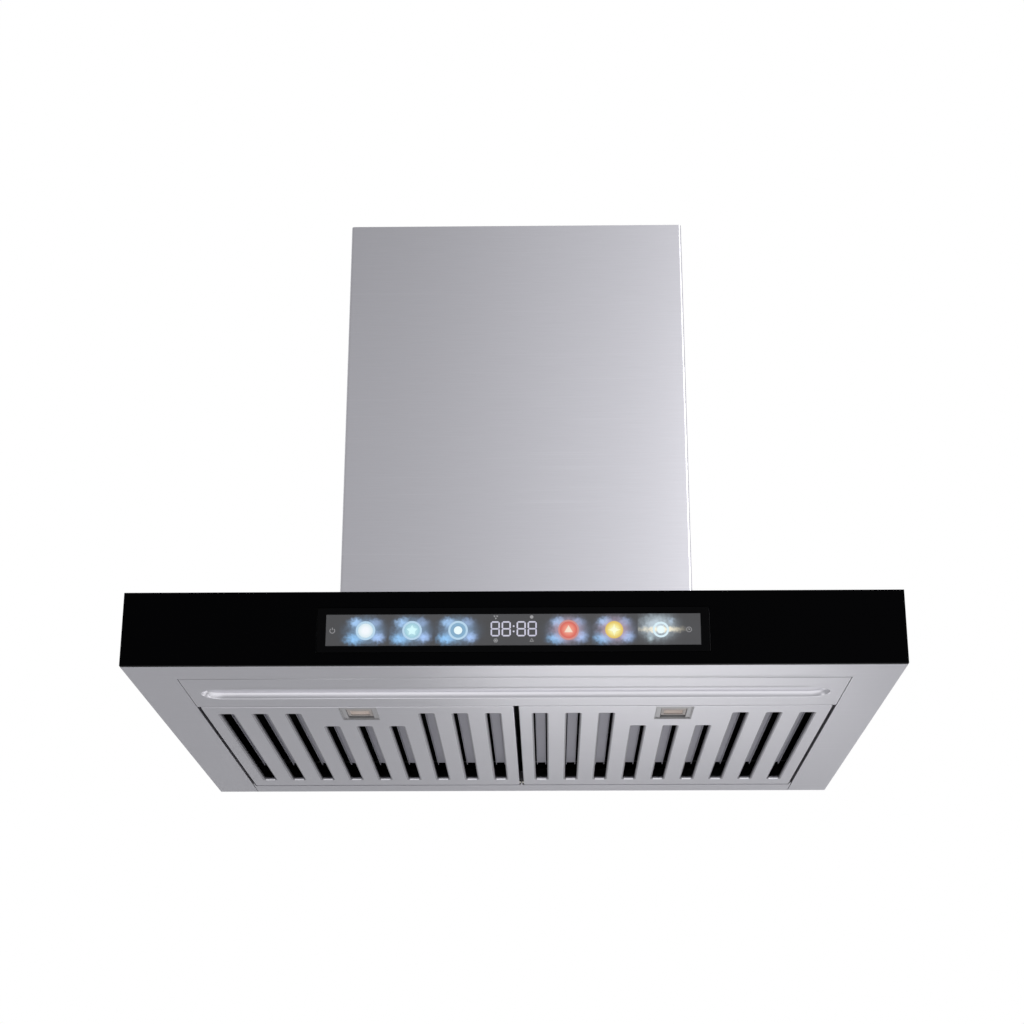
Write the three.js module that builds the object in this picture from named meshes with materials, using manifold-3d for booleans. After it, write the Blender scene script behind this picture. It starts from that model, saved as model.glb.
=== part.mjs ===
// Island range hood: a canopy with two hinged baffle filters and a black glass control front, a blower
// above it, and a telescopic chimney that hangs from a ceiling bracket. Millimetres, +Z up, front at -Y.
// The origin is the centre of the ceiling bracket's top face, and the hood is drawn pushed fully up.
import * as THREE from "three";
import { mergeVertices } from "three/addons/utils/BufferGeometryUtils.js";
import Module from "manifold-3d";

const wasm = await Module();
wasm.setup();

// ---- Driving dimensions ----
const clearance = 0.3; // between pieces that are fastened or seated together
const runningGap = 0.3; // round a shaft, pin or rod

const hoodWidth = 750;
const hoodDepth = 600;
const canopyHeight = 73;
const canopySheet = 1;
const sideFrameWidth = 46;
const frontFrameDepth = 51;
const openingLipHeight = 12;

const glassThickness = 5;
const bezelWidth = 375;
const bezelHeight = 44;
const bezelThickness = 4.4;
const windowSideMargin = 8.5; // bezel either side of the window
const windowEndMargin = 6.5; // bezel above and below it
const windowThickness = 2.3;
const windowLedge = 3;
const displayDrop = 38.5; // from the top of the glass to the middle of the display
const boardSeat = 2; // how far the board reaches over the bezel's ledge
const boardThickness = 1.6;
const boardHoleMargin = 2;

const frontPanelDepth = 111;
const frontPanelGap = 1;
const frontPanelSheet = 1;
const frontPanelSideGap = 0.8;
const keeperHeight = 18;
const grooveEndMargin = 13; // from the opening's side to the groove's end
const grooveWidth = 40;
const grooveSlope = 7;
const grooveDepth = 5.5;
const grooveRearShift = 3.5; // groove's middle behind the panel's middle

const rearRailDepth = 35;
const rearRailSheet = 1;
const rearRailHeight = 18;

const filterSideGap = 3.3;
const filterMiddleGap = 5.2;
const filterEndGap = 3;
const filterSheet = 0.8;
const filterRimHeight = 20;
const slotWidth = 14;
const slotPitch = 34.9;
const slotEdgeMargin = 15; // least steel between the outermost slot's middle and the filter's side
const slotRearMargin = 32;
const longSlotFrontMargin = 29;
const shortSlotFrontMargin = 86;
const shortSlotReach = 15; // slots this close beside the latch stop short of it
const slotFlangeHeight = 4.5;
const baffleWidth = 11;
const baffleRise = 17.5;
const baffleLipHeight = 2.5;
const baffleFrontMargin = 6;
const baffleRearMargin = 47; // the strips stop well short of the filter's rear rim
const baffleBarWidth = 6;
const baffleBarThickness = 1.6;

const hingeRodRadius = 1.6;
const hingeInset = 4;
const hingeRise = 3.4;
const hingeKnuckleWall = 1.2;
const hingeKnuckleLength = 24;
const hingeKnuckleSpread = 200;
const hingeKnuckleFoot = 3;
const hingeRodEndGap = 0.7;
const hingeEarThickness = 1.5;
const hingeEarReach = 4;

const latchTravel = 7;
const trayFrontGap = 0.8;
const trayWidth = 38.4;
const trayWall = 1.5;
const trayBorder = 1; // flat rim round the dished outer face
const trayRecess = 1.5;
const trayRoof = 0.8;
const trayDepth = 10;
const trayFlange = 3;
const pocketFrontLedge = 14; // tray floor in front of the finger pocket
const pullWidth = 26;
const pullLength = 31;
const pullThickness = 1.6;
const pullRise = 2.3;
const pullGap = 0.5;
const fingerCupLength = 17;
const fingerCupBorder = 3;
const fingerCupDepth = 5.1; // from the pull's underside to the cup's roof
const fingerCupWall = 1;
const tongueWidth = 16;
const tongueThickness = 2;
const tongueRise = 2.7; // tongue's underside above the pull's
const tongueEndGap = 0.4; // to its keeper on the front panel
const lugWidth = 6;
const lugThickness = 2;
const lugSetback = 2;
const springTurns = 4;
const springRadius = 2.2;
const springWireRadius = 0.4;
const springLength = 18;
const springRise = 0.6;

const chimneyHeight = 475; // ceiling to canopy with the hood pushed up
const chimneyWidth = 368;
const chimneyDepth = 300;
const chimneySheet = 1;
const chimneyBendRadius = 2;
const chimneyTopGap = 1;
const lapWidth = 24;
const nestSideGap = 8; // between the lower cover and the upper cover inside it
const nestFrontGap = 6;
const innerCoverEndGap = 20; // upper cover's lower edge above the canopy
const baseRingHeight = 14;
const lapFootGap = 5; // lap strips start above the base ring
const baseRingFlange = 8;
const baseRingSheet = 1.5;

const bracketThickness = 3;
const bracketRingWidth = 30;
const bracketLipHeight = 18;
const bracketLipThickness = 2;
const bracketHoleRadius = 4;

const legWidth = 20;
const legThickness = 2;
const legNestGap = 0.5;
const upperLegEndGap = 44.7; // upper leg's lower end above the canopy
const lowerLegEndGap = 71.4; // lower leg's upper end below the upper leg's
const heightTravel = 300;
const boltRadius = 2.5;
const boltSlotGap = 0.5;
const boltSlotEndMargin = 5;
const boltHeadRadius = 4.5;
const boltHeadHeight = 2.2;
const boltNutHeight = 1.9;
const boltDrop = 12; // from the lower leg's top end to its bolt

const blowerBoxSideGap = 3.9; // to the legs beside the box
const blowerBoxFrontGap = 10.9;
const blowerBoxHeight = 235;
const blowerBoxSheet = 1;
const blowerBoxFlange = 14;

const wheelRadius = 66;
const wheelBladeDepth = 12;
const wheelWidth = 150;
const wheelDiscThickness = 3;
const bladeCount = 24;
const bladeThickness = 1.4;
const bladeRake = 0.55; // radians from the radial line
const wheelRimWidth = 3;
const hubRadius = 12;
const hubLength = 20;
const hubStep = 1;
const shaftRadius = 4;
const shaftLength = 44;

const scrollWidth = 190;
const scrollWall = 2;
const scrollTipGap = 6;
const scrollGrowth = 25;
const scrollOutletWidth = 88;
const scrollFrontGap = 4; // to the box's front wall
const scrollFloorGap = 9;
const scrollFlange = 7;
const inletRadius = 57;
const inletRingWall = 1.6;
const inletFlangeWidth = 9;
const inletThroatDepth = 8;

const motorRadius = 42;
const motorLength = 76;
const motorFrontGap = 5;
const motorShoulder = 6;
const motorBossRadius = 28;
const motorBoreDepth = 16;
const spiderThickness = 3;
const spiderArmWidth = 14;
const spiderHubRadius = 32;

const collarRadius = 75;
const collarWall = 1.2;
const collarHeight = 62;
const collarFlangeWidth = 12;
const flapRise = 26;
const flapThickness = 0.8;
const flapEdgeGap = 1.4;
const flapRootGap = 3.8;
const damperPinRadius = 1.6;
const flapKnuckleRadius = 3.2;
const flapKnuckleLength = 18;
const flapKnuckleGap = 4;
const rearKnuckleMiddle = 24; // from the collar's middle, along the pin

const junctionEndMargin = 8; // from the blower box's end
const junctionDepth = 96;
const junctionHeight = 34;
const junctionWall = 2;
const junctionLidThickness = 1.5;
const glandRadius = 9;
const glandHeight = 16;
const glandStubRadius = 6;
const glandStubLength = 7;
const glandBoreRadius = 4;
const glandChamfer = 2;
const capacitorRadius = 15;
const capacitorLength = 62;
const boxTopSpacing = 4; // between the collar's flange and what stands beside it

const powerBoxWidth = 180;
const powerBoxDepth = 66;
const powerBoxHeight = 34;
const powerBoxWall = 2;
const powerBoxSetback = 12; // behind the front panel's front edge

// ---- Levels and places worked out from the driving dimensions ----
const canopyTopZ = -chimneyHeight;
const canopyBottomZ = canopyTopZ - canopyHeight;
const frontY = -hoodDepth / 2;
const rearY = hoodDepth / 2;
const halfWidth = hoodWidth / 2;
const openingHalf = halfWidth - sideFrameWidth;
const openingFrontY = frontY + frontFrameDepth;
const panelFrontY = openingFrontY + frontPanelGap;
const panelRearY = panelFrontY + frontPanelDepth;
const filterFrontY = panelRearY + filterEndGap;
const railFrontY = rearY - rearRailDepth;
const filterRearY = railFrontY - filterEndGap;
const filterInnerX = filterMiddleGap / 2;
const filterOuterX = openingHalf - filterSideGap;
const filterWidth = filterOuterX - filterInnerX;
const filterMiddleX = (filterInnerX + filterOuterX) / 2;
const hingeY = filterRearY - hingeInset;
const hingeZ = canopyBottomZ + hingeRise;
const displayZ = canopyTopZ - displayDrop;
const windowWidth = bezelWidth - 2 * windowSideMargin;
const windowHeight = bezelHeight - 2 * windowEndMargin;
const sightWidth = windowWidth - 2 * windowLedge;
const sightHeight = windowHeight - 2 * windowLedge;
const boardLength = sightWidth + 2 * boardSeat;
const boardHeight = sightHeight + 2 * boardSeat;
const shellFrontY = frontY + glassThickness + clearance;
const shellRearY = rearY - canopySheet - clearance;
const shellTopZ = canopyTopZ - canopySheet - clearance;
const innerChimneyWidth = chimneyWidth - 2 * (chimneySheet + nestSideGap);
const innerChimneyDepth = chimneyDepth - 2 * (chimneySheet + nestFrontGap);
const bracketHalfX = innerChimneyWidth / 2 - chimneySheet - clearance;
const bracketHalfY = innerChimneyDepth / 2 - chimneySheet - clearance;
const upperLegX = bracketHalfX - bracketLipThickness - clearance;
const upperLegY = bracketHalfY - bracketLipThickness - clearance;
const lowerLegX = upperLegX - legThickness - legNestGap;
const lowerLegY = upperLegY - legThickness - legNestGap;
const blowerBoxHalfX = lowerLegX - legWidth - blowerBoxSideGap;
const blowerBoxHalfY = lowerLegY - legThickness - blowerBoxFrontGap;

// ---- Geometry helpers ----
const REACH = 2000; // longer than any piece, for cuts that pass right through

function block(x0, x1, y0, y1, z0, z1) {
  const geometry = new THREE.BoxGeometry(x1 - x0, y1 - y0, z1 - z0);
  return geometry.translate((x0 + x1) / 2, (y0 + y1) / 2, (z0 + z1) / 2);
}

// A ring or disc about the X axis: profile points are [radius, x].
function turnedX(profile, segments) {
  const points = profile.map(([radius, x]) => new THREE.Vector2(radius, x));
  return new THREE.LatheGeometry(points, segments).rotateZ(-Math.PI / 2);
}

// The same about the Z axis: profile points are [radius, z].
function turnedZ(profile, segments) {
  const points = profile.map(([radius, z]) => new THREE.Vector2(radius, z));
  return new THREE.LatheGeometry(points, segments).rotateX(Math.PI / 2);
}

function tubeProfile(inner, outer, low, high) {
  return [[inner, low], [outer, low], [outer, high], [inner, high], [inner, low]];
}

function rodProfile(radius, low, high) {
  return [[0, low], [radius, low], [radius, high], [0, high]];
}

// An outline in the XY plane pulled from z0 to z1.
function pulled(outline, z0, z1) {
  const shape = new THREE.Shape(outline.map(([x, y]) => new THREE.Vector2(x, y)));
  const geometry = new THREE.ExtrudeGeometry(shape, { depth: z1 - z0, bevelEnabled: false });
  return geometry.translate(0, 0, z0);
}

// A convex ring of points at one level joined to a ring of as many points at another.
function lofted(lowRing, lowZ, highRing, highZ) {
  const count = lowRing.length;
  const positions = [];
  for (const [x, y] of lowRing) positions.push(x, y, lowZ);
  for (const [x, y] of highRing) positions.push(x, y, highZ);
  const faces = [];
  for (let i = 0; i < count; i++) {
    const next = (i + 1) % count;
    faces.push(i, next, count + next, i, count + next, count + i);
  }
  for (let i = 1; i < count - 1; i++) {
    faces.push(0, i + 1, i);
    faces.push(count, count + i, count + i + 1);
  }
  const geometry = new THREE.BufferGeometry();
  geometry.setAttribute("position", new THREE.Float32BufferAttribute(positions, 3));
  geometry.setIndex(faces);
  return geometry;
}

function roundEndedRing(length, width, middleY, steps) {
  const radius = width / 2;
  const ring = [];
  for (const [side, from] of [[1, -Math.PI / 2], [-1, Math.PI / 2]]) {
    const centreX = side * (length / 2 - radius);
    for (let i = 0; i <= steps; i++) {
      const angle = from + (Math.PI * i) / steps;
      ring.push([centreX + radius * Math.cos(angle), middleY + radius * Math.sin(angle)]);
    }
  }
  return ring;
}

function solid(geometry) {
  const bare = geometry.clone();
  bare.deleteAttribute("normal");
  bare.deleteAttribute("uv");
  const merged = mergeVertices(bare.index ? bare.toNonIndexed() : bare, 1e-4);
  const vertProperties = new Float32Array(merged.attributes.position.array);
  const triVerts = new Uint32Array(merged.index.array);
  return new wasm.Manifold(new wasm.Mesh({ numProp: 3, vertProperties, triVerts }));
}

function joined(geometries) {
  return geometries.map(solid).reduce((a, b) => a.add(b));
}

function cut(body, geometries) {
  return geometries.map(solid).reduce((a, b) => a.subtract(b), body);
}

function surface(body) {
  const mesh = body.getMesh();
  const geometry = new THREE.BufferGeometry();
  geometry.setAttribute("position", new THREE.BufferAttribute(mesh.vertProperties, 3));
  geometry.setIndex(new THREE.BufferAttribute(mesh.triVerts, 1));
  geometry.computeVertexNormals();
  return geometry;
}

// The same form on the other side of the middle plane, with its faces turned back outwards.
function mirrored(form) {
  const source = form.isBufferGeometry ? form : surface(form);
  const geometry = (source.index ? source.toNonIndexed() : source.clone()).scale(-1, 1, 1);
  const positions = geometry.attributes.position;
  const swap = new THREE.Vector3();
  for (let i = 0; i < positions.count; i += 3) {
    swap.fromBufferAttribute(positions, i + 1);
    const last = new THREE.Vector3().fromBufferAttribute(positions, i + 2);
    positions.setXYZ(i + 1, last.x, last.y, last.z);
    positions.setXYZ(i + 2, swap.x, swap.y, swap.z);
  }
  geometry.computeVertexNormals();
  return geometry;
}

const root = new THREE.Group();

function piece(name, form, material) {
  const geometry = form.isBufferGeometry ? form : surface(form);
  const mesh = new THREE.Mesh(geometry, material);
  mesh.name = name;
  root.add(mesh);
  return mesh;
}

// ---- Materials ----
function brushedSteel() {
  return new THREE.MeshStandardMaterial({ color: 0xbfc0c4, roughness: 0.35, metalness: 1 });
}

function galvanisedSteel() {
  return new THREE.MeshStandardMaterial({ color: 0x9ea2a6, roughness: 0.5, metalness: 1 });
}

function zincPlate() {
  return new THREE.MeshStandardMaterial({ color: 0xb9b7ae, roughness: 0.3, metalness: 1 });
}

function blackGlass() {
  return new THREE.MeshStandardMaterial({ color: 0x050506, roughness: 0.05, metalness: 0 });
}

function blackPlastic() {
  return new THREE.MeshStandardMaterial({ color: 0x161617, roughness: 0.5, metalness: 0 });
}

function smokedWindow() {
  return new THREE.MeshStandardMaterial({ color: 0x4b4b4d, roughness: 0.15, metalness: 0 });
}

function circuitBoard() {
  return new THREE.MeshStandardMaterial({ color: 0x1d4a2c, roughness: 0.6, metalness: 0 });
}

function greyPlastic() {
  return new THREE.MeshStandardMaterial({ color: 0x8c8f92, roughness: 0.6, metalness: 0 });
}

function whitePlastic() {
  return new THREE.MeshStandardMaterial({ color: 0xe6e5e0, roughness: 0.55, metalness: 0 });
}

function motorEnamel() {
  return new THREE.MeshStandardMaterial({ color: 0x3a3d40, roughness: 0.5, metalness: 0.6 });
}

// ---- Canopy ----
// The folded outer shell: front wall, side walls and the U of visible frame round the opening underneath.
function canopyShell() {
  const outer = block(-halfWidth, halfWidth, shellFrontY, shellRearY, canopyBottomZ, shellTopZ);
  const inside = block(-halfWidth + canopySheet, halfWidth - canopySheet, shellFrontY + canopySheet,
    shellRearY + REACH, canopyBottomZ + canopySheet, shellTopZ + REACH);
  const opening = block(-openingHalf, openingHalf, openingFrontY, shellRearY + REACH,
    canopyBottomZ - REACH, canopyBottomZ + REACH);
  const lipTopZ = canopyBottomZ + openingLipHeight;
  const lips = [block(-openingHalf - canopySheet, openingHalf + canopySheet, openingFrontY - canopySheet,
    openingFrontY, canopyBottomZ, lipTopZ)];
  for (const side of [-1, 1]) {
    const x = side * (openingHalf + canopySheet / 2);
    lips.push(block(x - canopySheet / 2, x + canopySheet / 2, openingFrontY - canopySheet, shellRearY,
      canopyBottomZ, lipTopZ));
  }
  const holeX = boardLength / 2 + boardHoleMargin;
  const holeZ = boardHeight / 2 + boardHoleMargin;
  const boardHole = block(-holeX, holeX, shellFrontY - 1, shellFrontY + canopySheet + 1,
    displayZ - holeZ, displayZ + holeZ);
  const folded = cut(solid(outer), [inside, opening]);
  return cut(folded.add(joined(lips)), [boardHole]);
}

function canopyTop() {
  const plate = block(-halfWidth, halfWidth, shellFrontY, rearY, canopyTopZ - canopySheet, canopyTopZ);
  const airX = blowerBoxHalfX - blowerBoxSheet - blowerBoxFlange;
  const airY = blowerBoxHalfY - blowerBoxSheet - blowerBoxFlange;
  const air = block(-airX, airX, -airY, airY, canopyTopZ - REACH, canopyTopZ + REACH);
  return cut(solid(plate), [air]);
}

function canopyBack() {
  return block(-halfWidth, halfWidth, rearY - canopySheet, rearY, canopyBottomZ, shellTopZ);
}

piece("canopy_shell", canopyShell(), brushedSteel());
piece("canopy_top", canopyTop(), brushedSteel());
piece("canopy_back", canopyBack(), brushedSteel());

// ---- Glass front and display ----
function frontGlass() {
  const pane = block(-halfWidth, halfWidth, frontY, frontY + glassThickness, canopyBottomZ, canopyTopZ);
  const holeX = bezelWidth / 2 + clearance;
  const holeZ = bezelHeight / 2 + clearance;
  const hole = block(-holeX, holeX, frontY - 1, frontY + glassThickness + 1,
    displayZ - holeZ, displayZ + holeZ);
  return cut(solid(pane), [hole]);
}

function displayBezel() {
  const rear = frontY + bezelThickness;
  const frame = block(-bezelWidth / 2, bezelWidth / 2, frontY, rear,
    displayZ - bezelHeight / 2, displayZ + bezelHeight / 2);
  const seatX = windowWidth / 2 + clearance;
  const seatZ = windowHeight / 2 + clearance;
  const seatRear = frontY + 2 * clearance + windowThickness;
  const seat = block(-seatX, seatX, frontY - 1, seatRear, displayZ - seatZ, displayZ + seatZ);
  const sight = block(-sightWidth / 2, sightWidth / 2, frontY - 1, rear + 1,
    displayZ - sightHeight / 2, displayZ + sightHeight / 2);
  return cut(solid(frame), [seat, sight]);
}

function displayWindow() {
  return block(-windowWidth / 2, windowWidth / 2, frontY + clearance, frontY + clearance + windowThickness,
    displayZ - windowHeight / 2, displayZ + windowHeight / 2);
}

function controlBoard() {
  const y = frontY + bezelThickness + clearance;
  return block(-boardLength / 2, boardLength / 2, y, y + boardThickness,
    displayZ - boardHeight / 2, displayZ + boardHeight / 2);
}

piece("front_glass", frontGlass(), blackGlass());
piece("display_bezel", displayBezel(), blackPlastic());
piece("display_window", displayWindow(), smokedWindow());
piece("control_board", controlBoard(), circuitBoard());

// ---- Underside: front panel with its pressed groove, and the rear rail ----
const panelHalf = openingHalf - frontPanelSideGap;

function frontInnerPanel() {
  const topZ = canopyBottomZ + frontPanelSheet;
  const plate = block(-panelHalf, panelHalf, panelFrontY, panelRearY, canopyBottomZ, topZ);
  const keeper = block(-panelHalf, panelHalf, panelRearY - frontPanelSheet, panelRearY,
    canopyBottomZ, canopyBottomZ + keeperHeight);
  const frontLip = block(-panelHalf, panelHalf, panelFrontY, panelFrontY + frontPanelSheet,
    canopyBottomZ, canopyBottomZ + openingLipHeight);
  const middleY = (panelFrontY + panelRearY) / 2 + grooveRearShift;
  const steps = 8;
  const length = 2 * (openingHalf - grooveEndMargin);
  const ring = (inset) => roundEndedRing(length - 2 * inset, grooveWidth - 2 * inset, middleY, steps);
  const wall = frontPanelSheet;
  const hump = lofted(ring(-wall), canopyBottomZ, ring(grooveSlope - wall),
    canopyBottomZ + grooveDepth + wall);
  const hollow = lofted(ring(-grooveSlope / grooveDepth), canopyBottomZ - 1, ring(grooveSlope),
    canopyBottomZ + grooveDepth);
  return cut(joined([plate, keeper, frontLip, hump]), [hollow]);
}

function hingeEars() {
  const ears = [];
  const outer = filterOuterX + (filterSideGap - hingeEarThickness) / 2;
  const spans = [[-hingeEarThickness / 2, hingeEarThickness / 2], [outer, outer + hingeEarThickness],
    [-outer - hingeEarThickness, -outer]];
  for (const [x0, x1] of spans) {
    ears.push(block(x0, x1, hingeY - hingeEarReach, railFrontY + rearRailSheet,
      canopyBottomZ + clearance, hingeZ + hingeRise));
  }
  return ears;
}

function rearRail() {
  const plate = block(-panelHalf, panelHalf, railFrontY, shellRearY,
    canopyBottomZ, canopyBottomZ + rearRailSheet);
  const wall = block(-panelHalf, panelHalf, railFrontY, railFrontY + rearRailSheet,
    canopyBottomZ, canopyBottomZ + rearRailHeight);
  const lip = block(-panelHalf, panelHalf, shellRearY - rearRailSheet, shellRearY,
    canopyBottomZ, canopyBottomZ + openingLipHeight);
  const bore = turnedX(rodProfile(hingeRodRadius + runningGap, -REACH, REACH), 16);
  return cut(joined([plate, wall, lip, ...hingeEars()]), [bore.translate(0, hingeY, hingeZ)]);
}

function hingeRod() {
  const inner = runningGap / 2;
  const outer = openingHalf - hingeRodEndGap;
  return turnedX(rodProfile(hingeRodRadius, inner, outer), 16).translate(0, hingeY, hingeZ);
}

piece("front_inner_panel", frontInnerPanel(), brushedSteel());
piece("rear_rail", rearRail(), brushedSteel());

// ---- Baffle filters: built for the right side, and mirrored for the left ----
const trayFrontY = filterFrontY + filterSheet + trayFrontGap;
const pocketFrontY = trayFrontY + pocketFrontLedge;
const pocketRearY = pocketFrontY + pullGap + pullLength + latchTravel + pullGap;
const trayRearY = pocketRearY + trayWall;
const pullFrontY = pocketFrontY + pullGap;
const pullRearY = pullFrontY + pullLength;
const tongueZ = canopyBottomZ + pullRise + tongueRise;
const lugY = pullFrontY + lugSetback;
const trayTopZ = canopyBottomZ + trayDepth;
const springZ = trayTopZ + springRise + springRadius + springWireRadius;

function slotMiddles() {
  const count = Math.floor((filterWidth - 2 * slotEdgeMargin) / slotPitch) + 1;
  return Array.from({ length: count }, (_, i) => filterMiddleX + (i - (count - 1) / 2) * slotPitch);
}

function slotFrontY(x) {
  const nearLatch = Math.abs(x - filterMiddleX) < trayWidth / 2 + slotWidth / 2 + shortSlotReach;
  return filterFrontY + (nearLatch ? shortSlotFrontMargin : longSlotFrontMargin);
}

function filterFace() {
  const rimTopZ = canopyBottomZ + filterRimHeight;
  const outer = block(filterInnerX, filterOuterX, filterFrontY, filterRearY, canopyBottomZ, rimTopZ);
  const inside = block(filterInnerX + filterSheet, filterOuterX - filterSheet, filterFrontY + filterSheet,
    filterRearY - filterSheet, canopyBottomZ + filterSheet, rimTopZ + REACH);
  const flanges = [];
  const slots = [];
  const slotRearY = filterRearY - slotRearMargin;
  for (const x of slotMiddles()) {
    const frontEdge = slotFrontY(x);
    flanges.push(block(x - slotWidth / 2 - filterSheet, x + slotWidth / 2 + filterSheet,
      frontEdge - filterSheet, slotRearY + filterSheet, canopyBottomZ, canopyBottomZ + slotFlangeHeight));
    slots.push(block(x - slotWidth / 2, x + slotWidth / 2, frontEdge, slotRearY,
      canopyBottomZ - 1, canopyBottomZ + slotFlangeHeight + 1));
  }
  const knuckles = [-1, 1].map((side) => {
    const middle = filterMiddleX + (side * hingeKnuckleSpread) / 2;
    const radius = hingeRodRadius + runningGap + hingeKnuckleWall;
    const barrel = rodProfile(radius, middle - hingeKnuckleLength / 2, middle + hingeKnuckleLength / 2);
    return turnedX(barrel, 16).translate(0, hingeY, hingeZ);
  });
  const feet = [-1, 1].map((side) => {
    const middle = filterMiddleX + (side * hingeKnuckleSpread) / 2;
    return block(middle - hingeKnuckleLength / 2, middle + hingeKnuckleLength / 2,
      hingeY - hingeKnuckleFoot / 2, hingeY + hingeKnuckleFoot / 2, canopyBottomZ, hingeZ);
  });
  const bore = turnedX(rodProfile(hingeRodRadius + runningGap, 0, REACH), 16).translate(0, hingeY, hingeZ);
  const trayHole = block(filterMiddleX - trayWidth / 2 - clearance, filterMiddleX + trayWidth / 2 + clearance,
    trayFrontY - clearance, trayRearY + clearance, canopyBottomZ - 1, canopyBottomZ + filterSheet + 0.1);
  const tongueX = tongueWidth / 2 + clearance;
  const tongueHole = block(filterMiddleX - tongueX, filterMiddleX + tongueX, filterFrontY - 1,
    filterFrontY + filterSheet + 0.1, tongueZ - clearance, tongueZ + tongueThickness + clearance);
  const tray = cut(solid(outer), [inside]);
  return cut(tray.add(joined([...flanges, ...knuckles, ...feet])), [...slots, bore, trayHole, tongueHole]);
}

function filterBaffles() {
  const stripFrontY = filterFrontY + baffleFrontMargin;
  const stripRearY = filterRearY - baffleRearMargin;
  const stripZ = canopyBottomZ + baffleRise;
  const strips = [];
  const lipZ = stripZ - baffleLipHeight;
  for (const x of slotMiddles()) {
    const left = x - baffleWidth / 2;
    const right = x + baffleWidth / 2;
    strips.push(block(left, right, stripFrontY, stripRearY, stripZ, stripZ + filterSheet));
    for (const edge of [left, right - filterSheet]) {
      strips.push(block(edge, edge + filterSheet, stripFrontY, stripRearY, lipZ, stripZ + 0.1));
    }
  }
  const barX0 = filterInnerX + filterSheet + clearance;
  const barX1 = filterOuterX - filterSheet - clearance;
  const barZ = stripZ + filterSheet / 2;
  for (const y of [stripFrontY, stripRearY - baffleBarWidth]) {
    strips.push(block(barX0, barX1, y, y + baffleBarWidth, barZ, barZ + baffleBarThickness));
  }
  return joined(strips);
}

function latchTray() {
  const x = filterMiddleX;
  const body = block(x - trayWidth / 2, x + trayWidth / 2, trayFrontY, trayRearY,
    canopyBottomZ + clearance, trayTopZ);
  const flangeZ = canopyBottomZ + filterSheet + clearance;
  const flangeFrontY = filterFrontY + filterSheet + clearance;
  const flange = block(x - trayWidth / 2 - trayFlange, x + trayWidth / 2 + trayFlange, flangeFrontY,
    trayRearY + trayFlange, flangeZ, flangeZ + filterSheet);
  const postY = lugY + lugThickness + springLength + 2 * clearance;
  const post = block(x - lugWidth / 2, x + lugWidth / 2, postY, postY + lugThickness,
    trayTopZ - 0.5, springZ + springRadius);
  const dishX = trayWidth / 2 - trayBorder;
  const dish = block(x - dishX, x + dishX, trayFrontY + trayBorder, trayRearY - trayBorder,
    canopyBottomZ - 1, canopyBottomZ + trayRecess);
  const pocketX = pullWidth / 2 + pullGap;
  const pocket = block(x - pocketX, x + pocketX, pocketFrontY, pocketRearY,
    canopyBottomZ - 1, trayTopZ - trayRoof);
  const tongueX = tongueWidth / 2 + clearance;
  const tongueWay = block(x - tongueX, x + tongueX, trayFrontY - REACH, pocketFrontY + 1,
    tongueZ - clearance, tongueZ + tongueThickness + clearance);
  const lugWay = block(x - lugWidth / 2 - clearance, x + lugWidth / 2 + clearance, lugY - pullGap,
    lugY + lugThickness + latchTravel + pullGap, trayTopZ - 2, trayTopZ + 1);
  return cut(joined([body, flange, post]), [dish, pocket, tongueWay, lugWay]);
}

function latchPull() {
  const x = filterMiddleX;
  const plateZ = canopyBottomZ + pullRise;
  const plate = block(x - pullWidth / 2, x + pullWidth / 2, pullFrontY, pullRearY,
    plateZ, plateZ + pullThickness);
  const lip = block(x - pullWidth / 2, x + pullWidth / 2, pullFrontY, pullFrontY + pullThickness,
    plateZ, tongueZ + tongueThickness);
  const tongue = block(x - tongueWidth / 2, x + tongueWidth / 2, panelRearY + tongueEndGap,
    pullFrontY + pullThickness, tongueZ, tongueZ + tongueThickness);
  const lug = block(x - lugWidth / 2, x + lugWidth / 2, lugY, lugY + lugThickness, plateZ,
    springZ + springRadius);
  const wall = fingerCupWall;
  const cupX = pullWidth / 2 - fingerCupBorder;
  const cupRearY = pullRearY - fingerCupBorder;
  const cupFrontY = cupRearY - fingerCupLength;
  const roofZ = plateZ + fingerCupDepth;
  const cup = block(x - cupX - wall, x + cupX + wall, cupFrontY - wall, cupRearY + wall, plateZ, roofZ + wall);
  const hollow = block(x - cupX, x + cupX, cupFrontY, cupRearY, plateZ - 1, roofZ);
  return cut(joined([plate, lip, tongue, lug, cup]), [hollow]);
}

class Helix extends THREE.Curve {
  constructor(x, y, z) {
    super();
    this.origin = new THREE.Vector3(x, y, z);
  }
  getPoint(t, target = new THREE.Vector3()) {
    const angle = t * springTurns * 2 * Math.PI;
    const run = springWireRadius + t * (springLength - 2 * springWireRadius);
    return target.set(springRadius * Math.cos(angle), run, springRadius * Math.sin(angle)).add(this.origin);
  }
}

function latchSpring() {
  const wire = new THREE.Shape();
  wire.absarc(0, 0, springWireRadius, 0, 2 * Math.PI, false);
  const path = new Helix(filterMiddleX, lugY + lugThickness + clearance, springZ);
  return new THREE.ExtrudeGeometry(wire, {
    steps: springTurns * 9, curveSegments: 3, extrudePath: path, bevelEnabled: false,
  });
}

const filterPieces = [
  ["filter_face", filterFace(), brushedSteel()],
  ["filter_baffles", filterBaffles(), brushedSteel()],
  ["latch_tray", latchTray(), zincPlate()],
  ["latch_pull", latchPull(), zincPlate()],
  ["latch_spring", latchSpring(), zincPlate()],
  ["hinge_rod", hingeRod(), zincPlate()],
];
for (const [name, form, material] of filterPieces) {
  piece(name + "_right", form, material);
  piece(name + "_left", mirrored(form), material);
}

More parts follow.
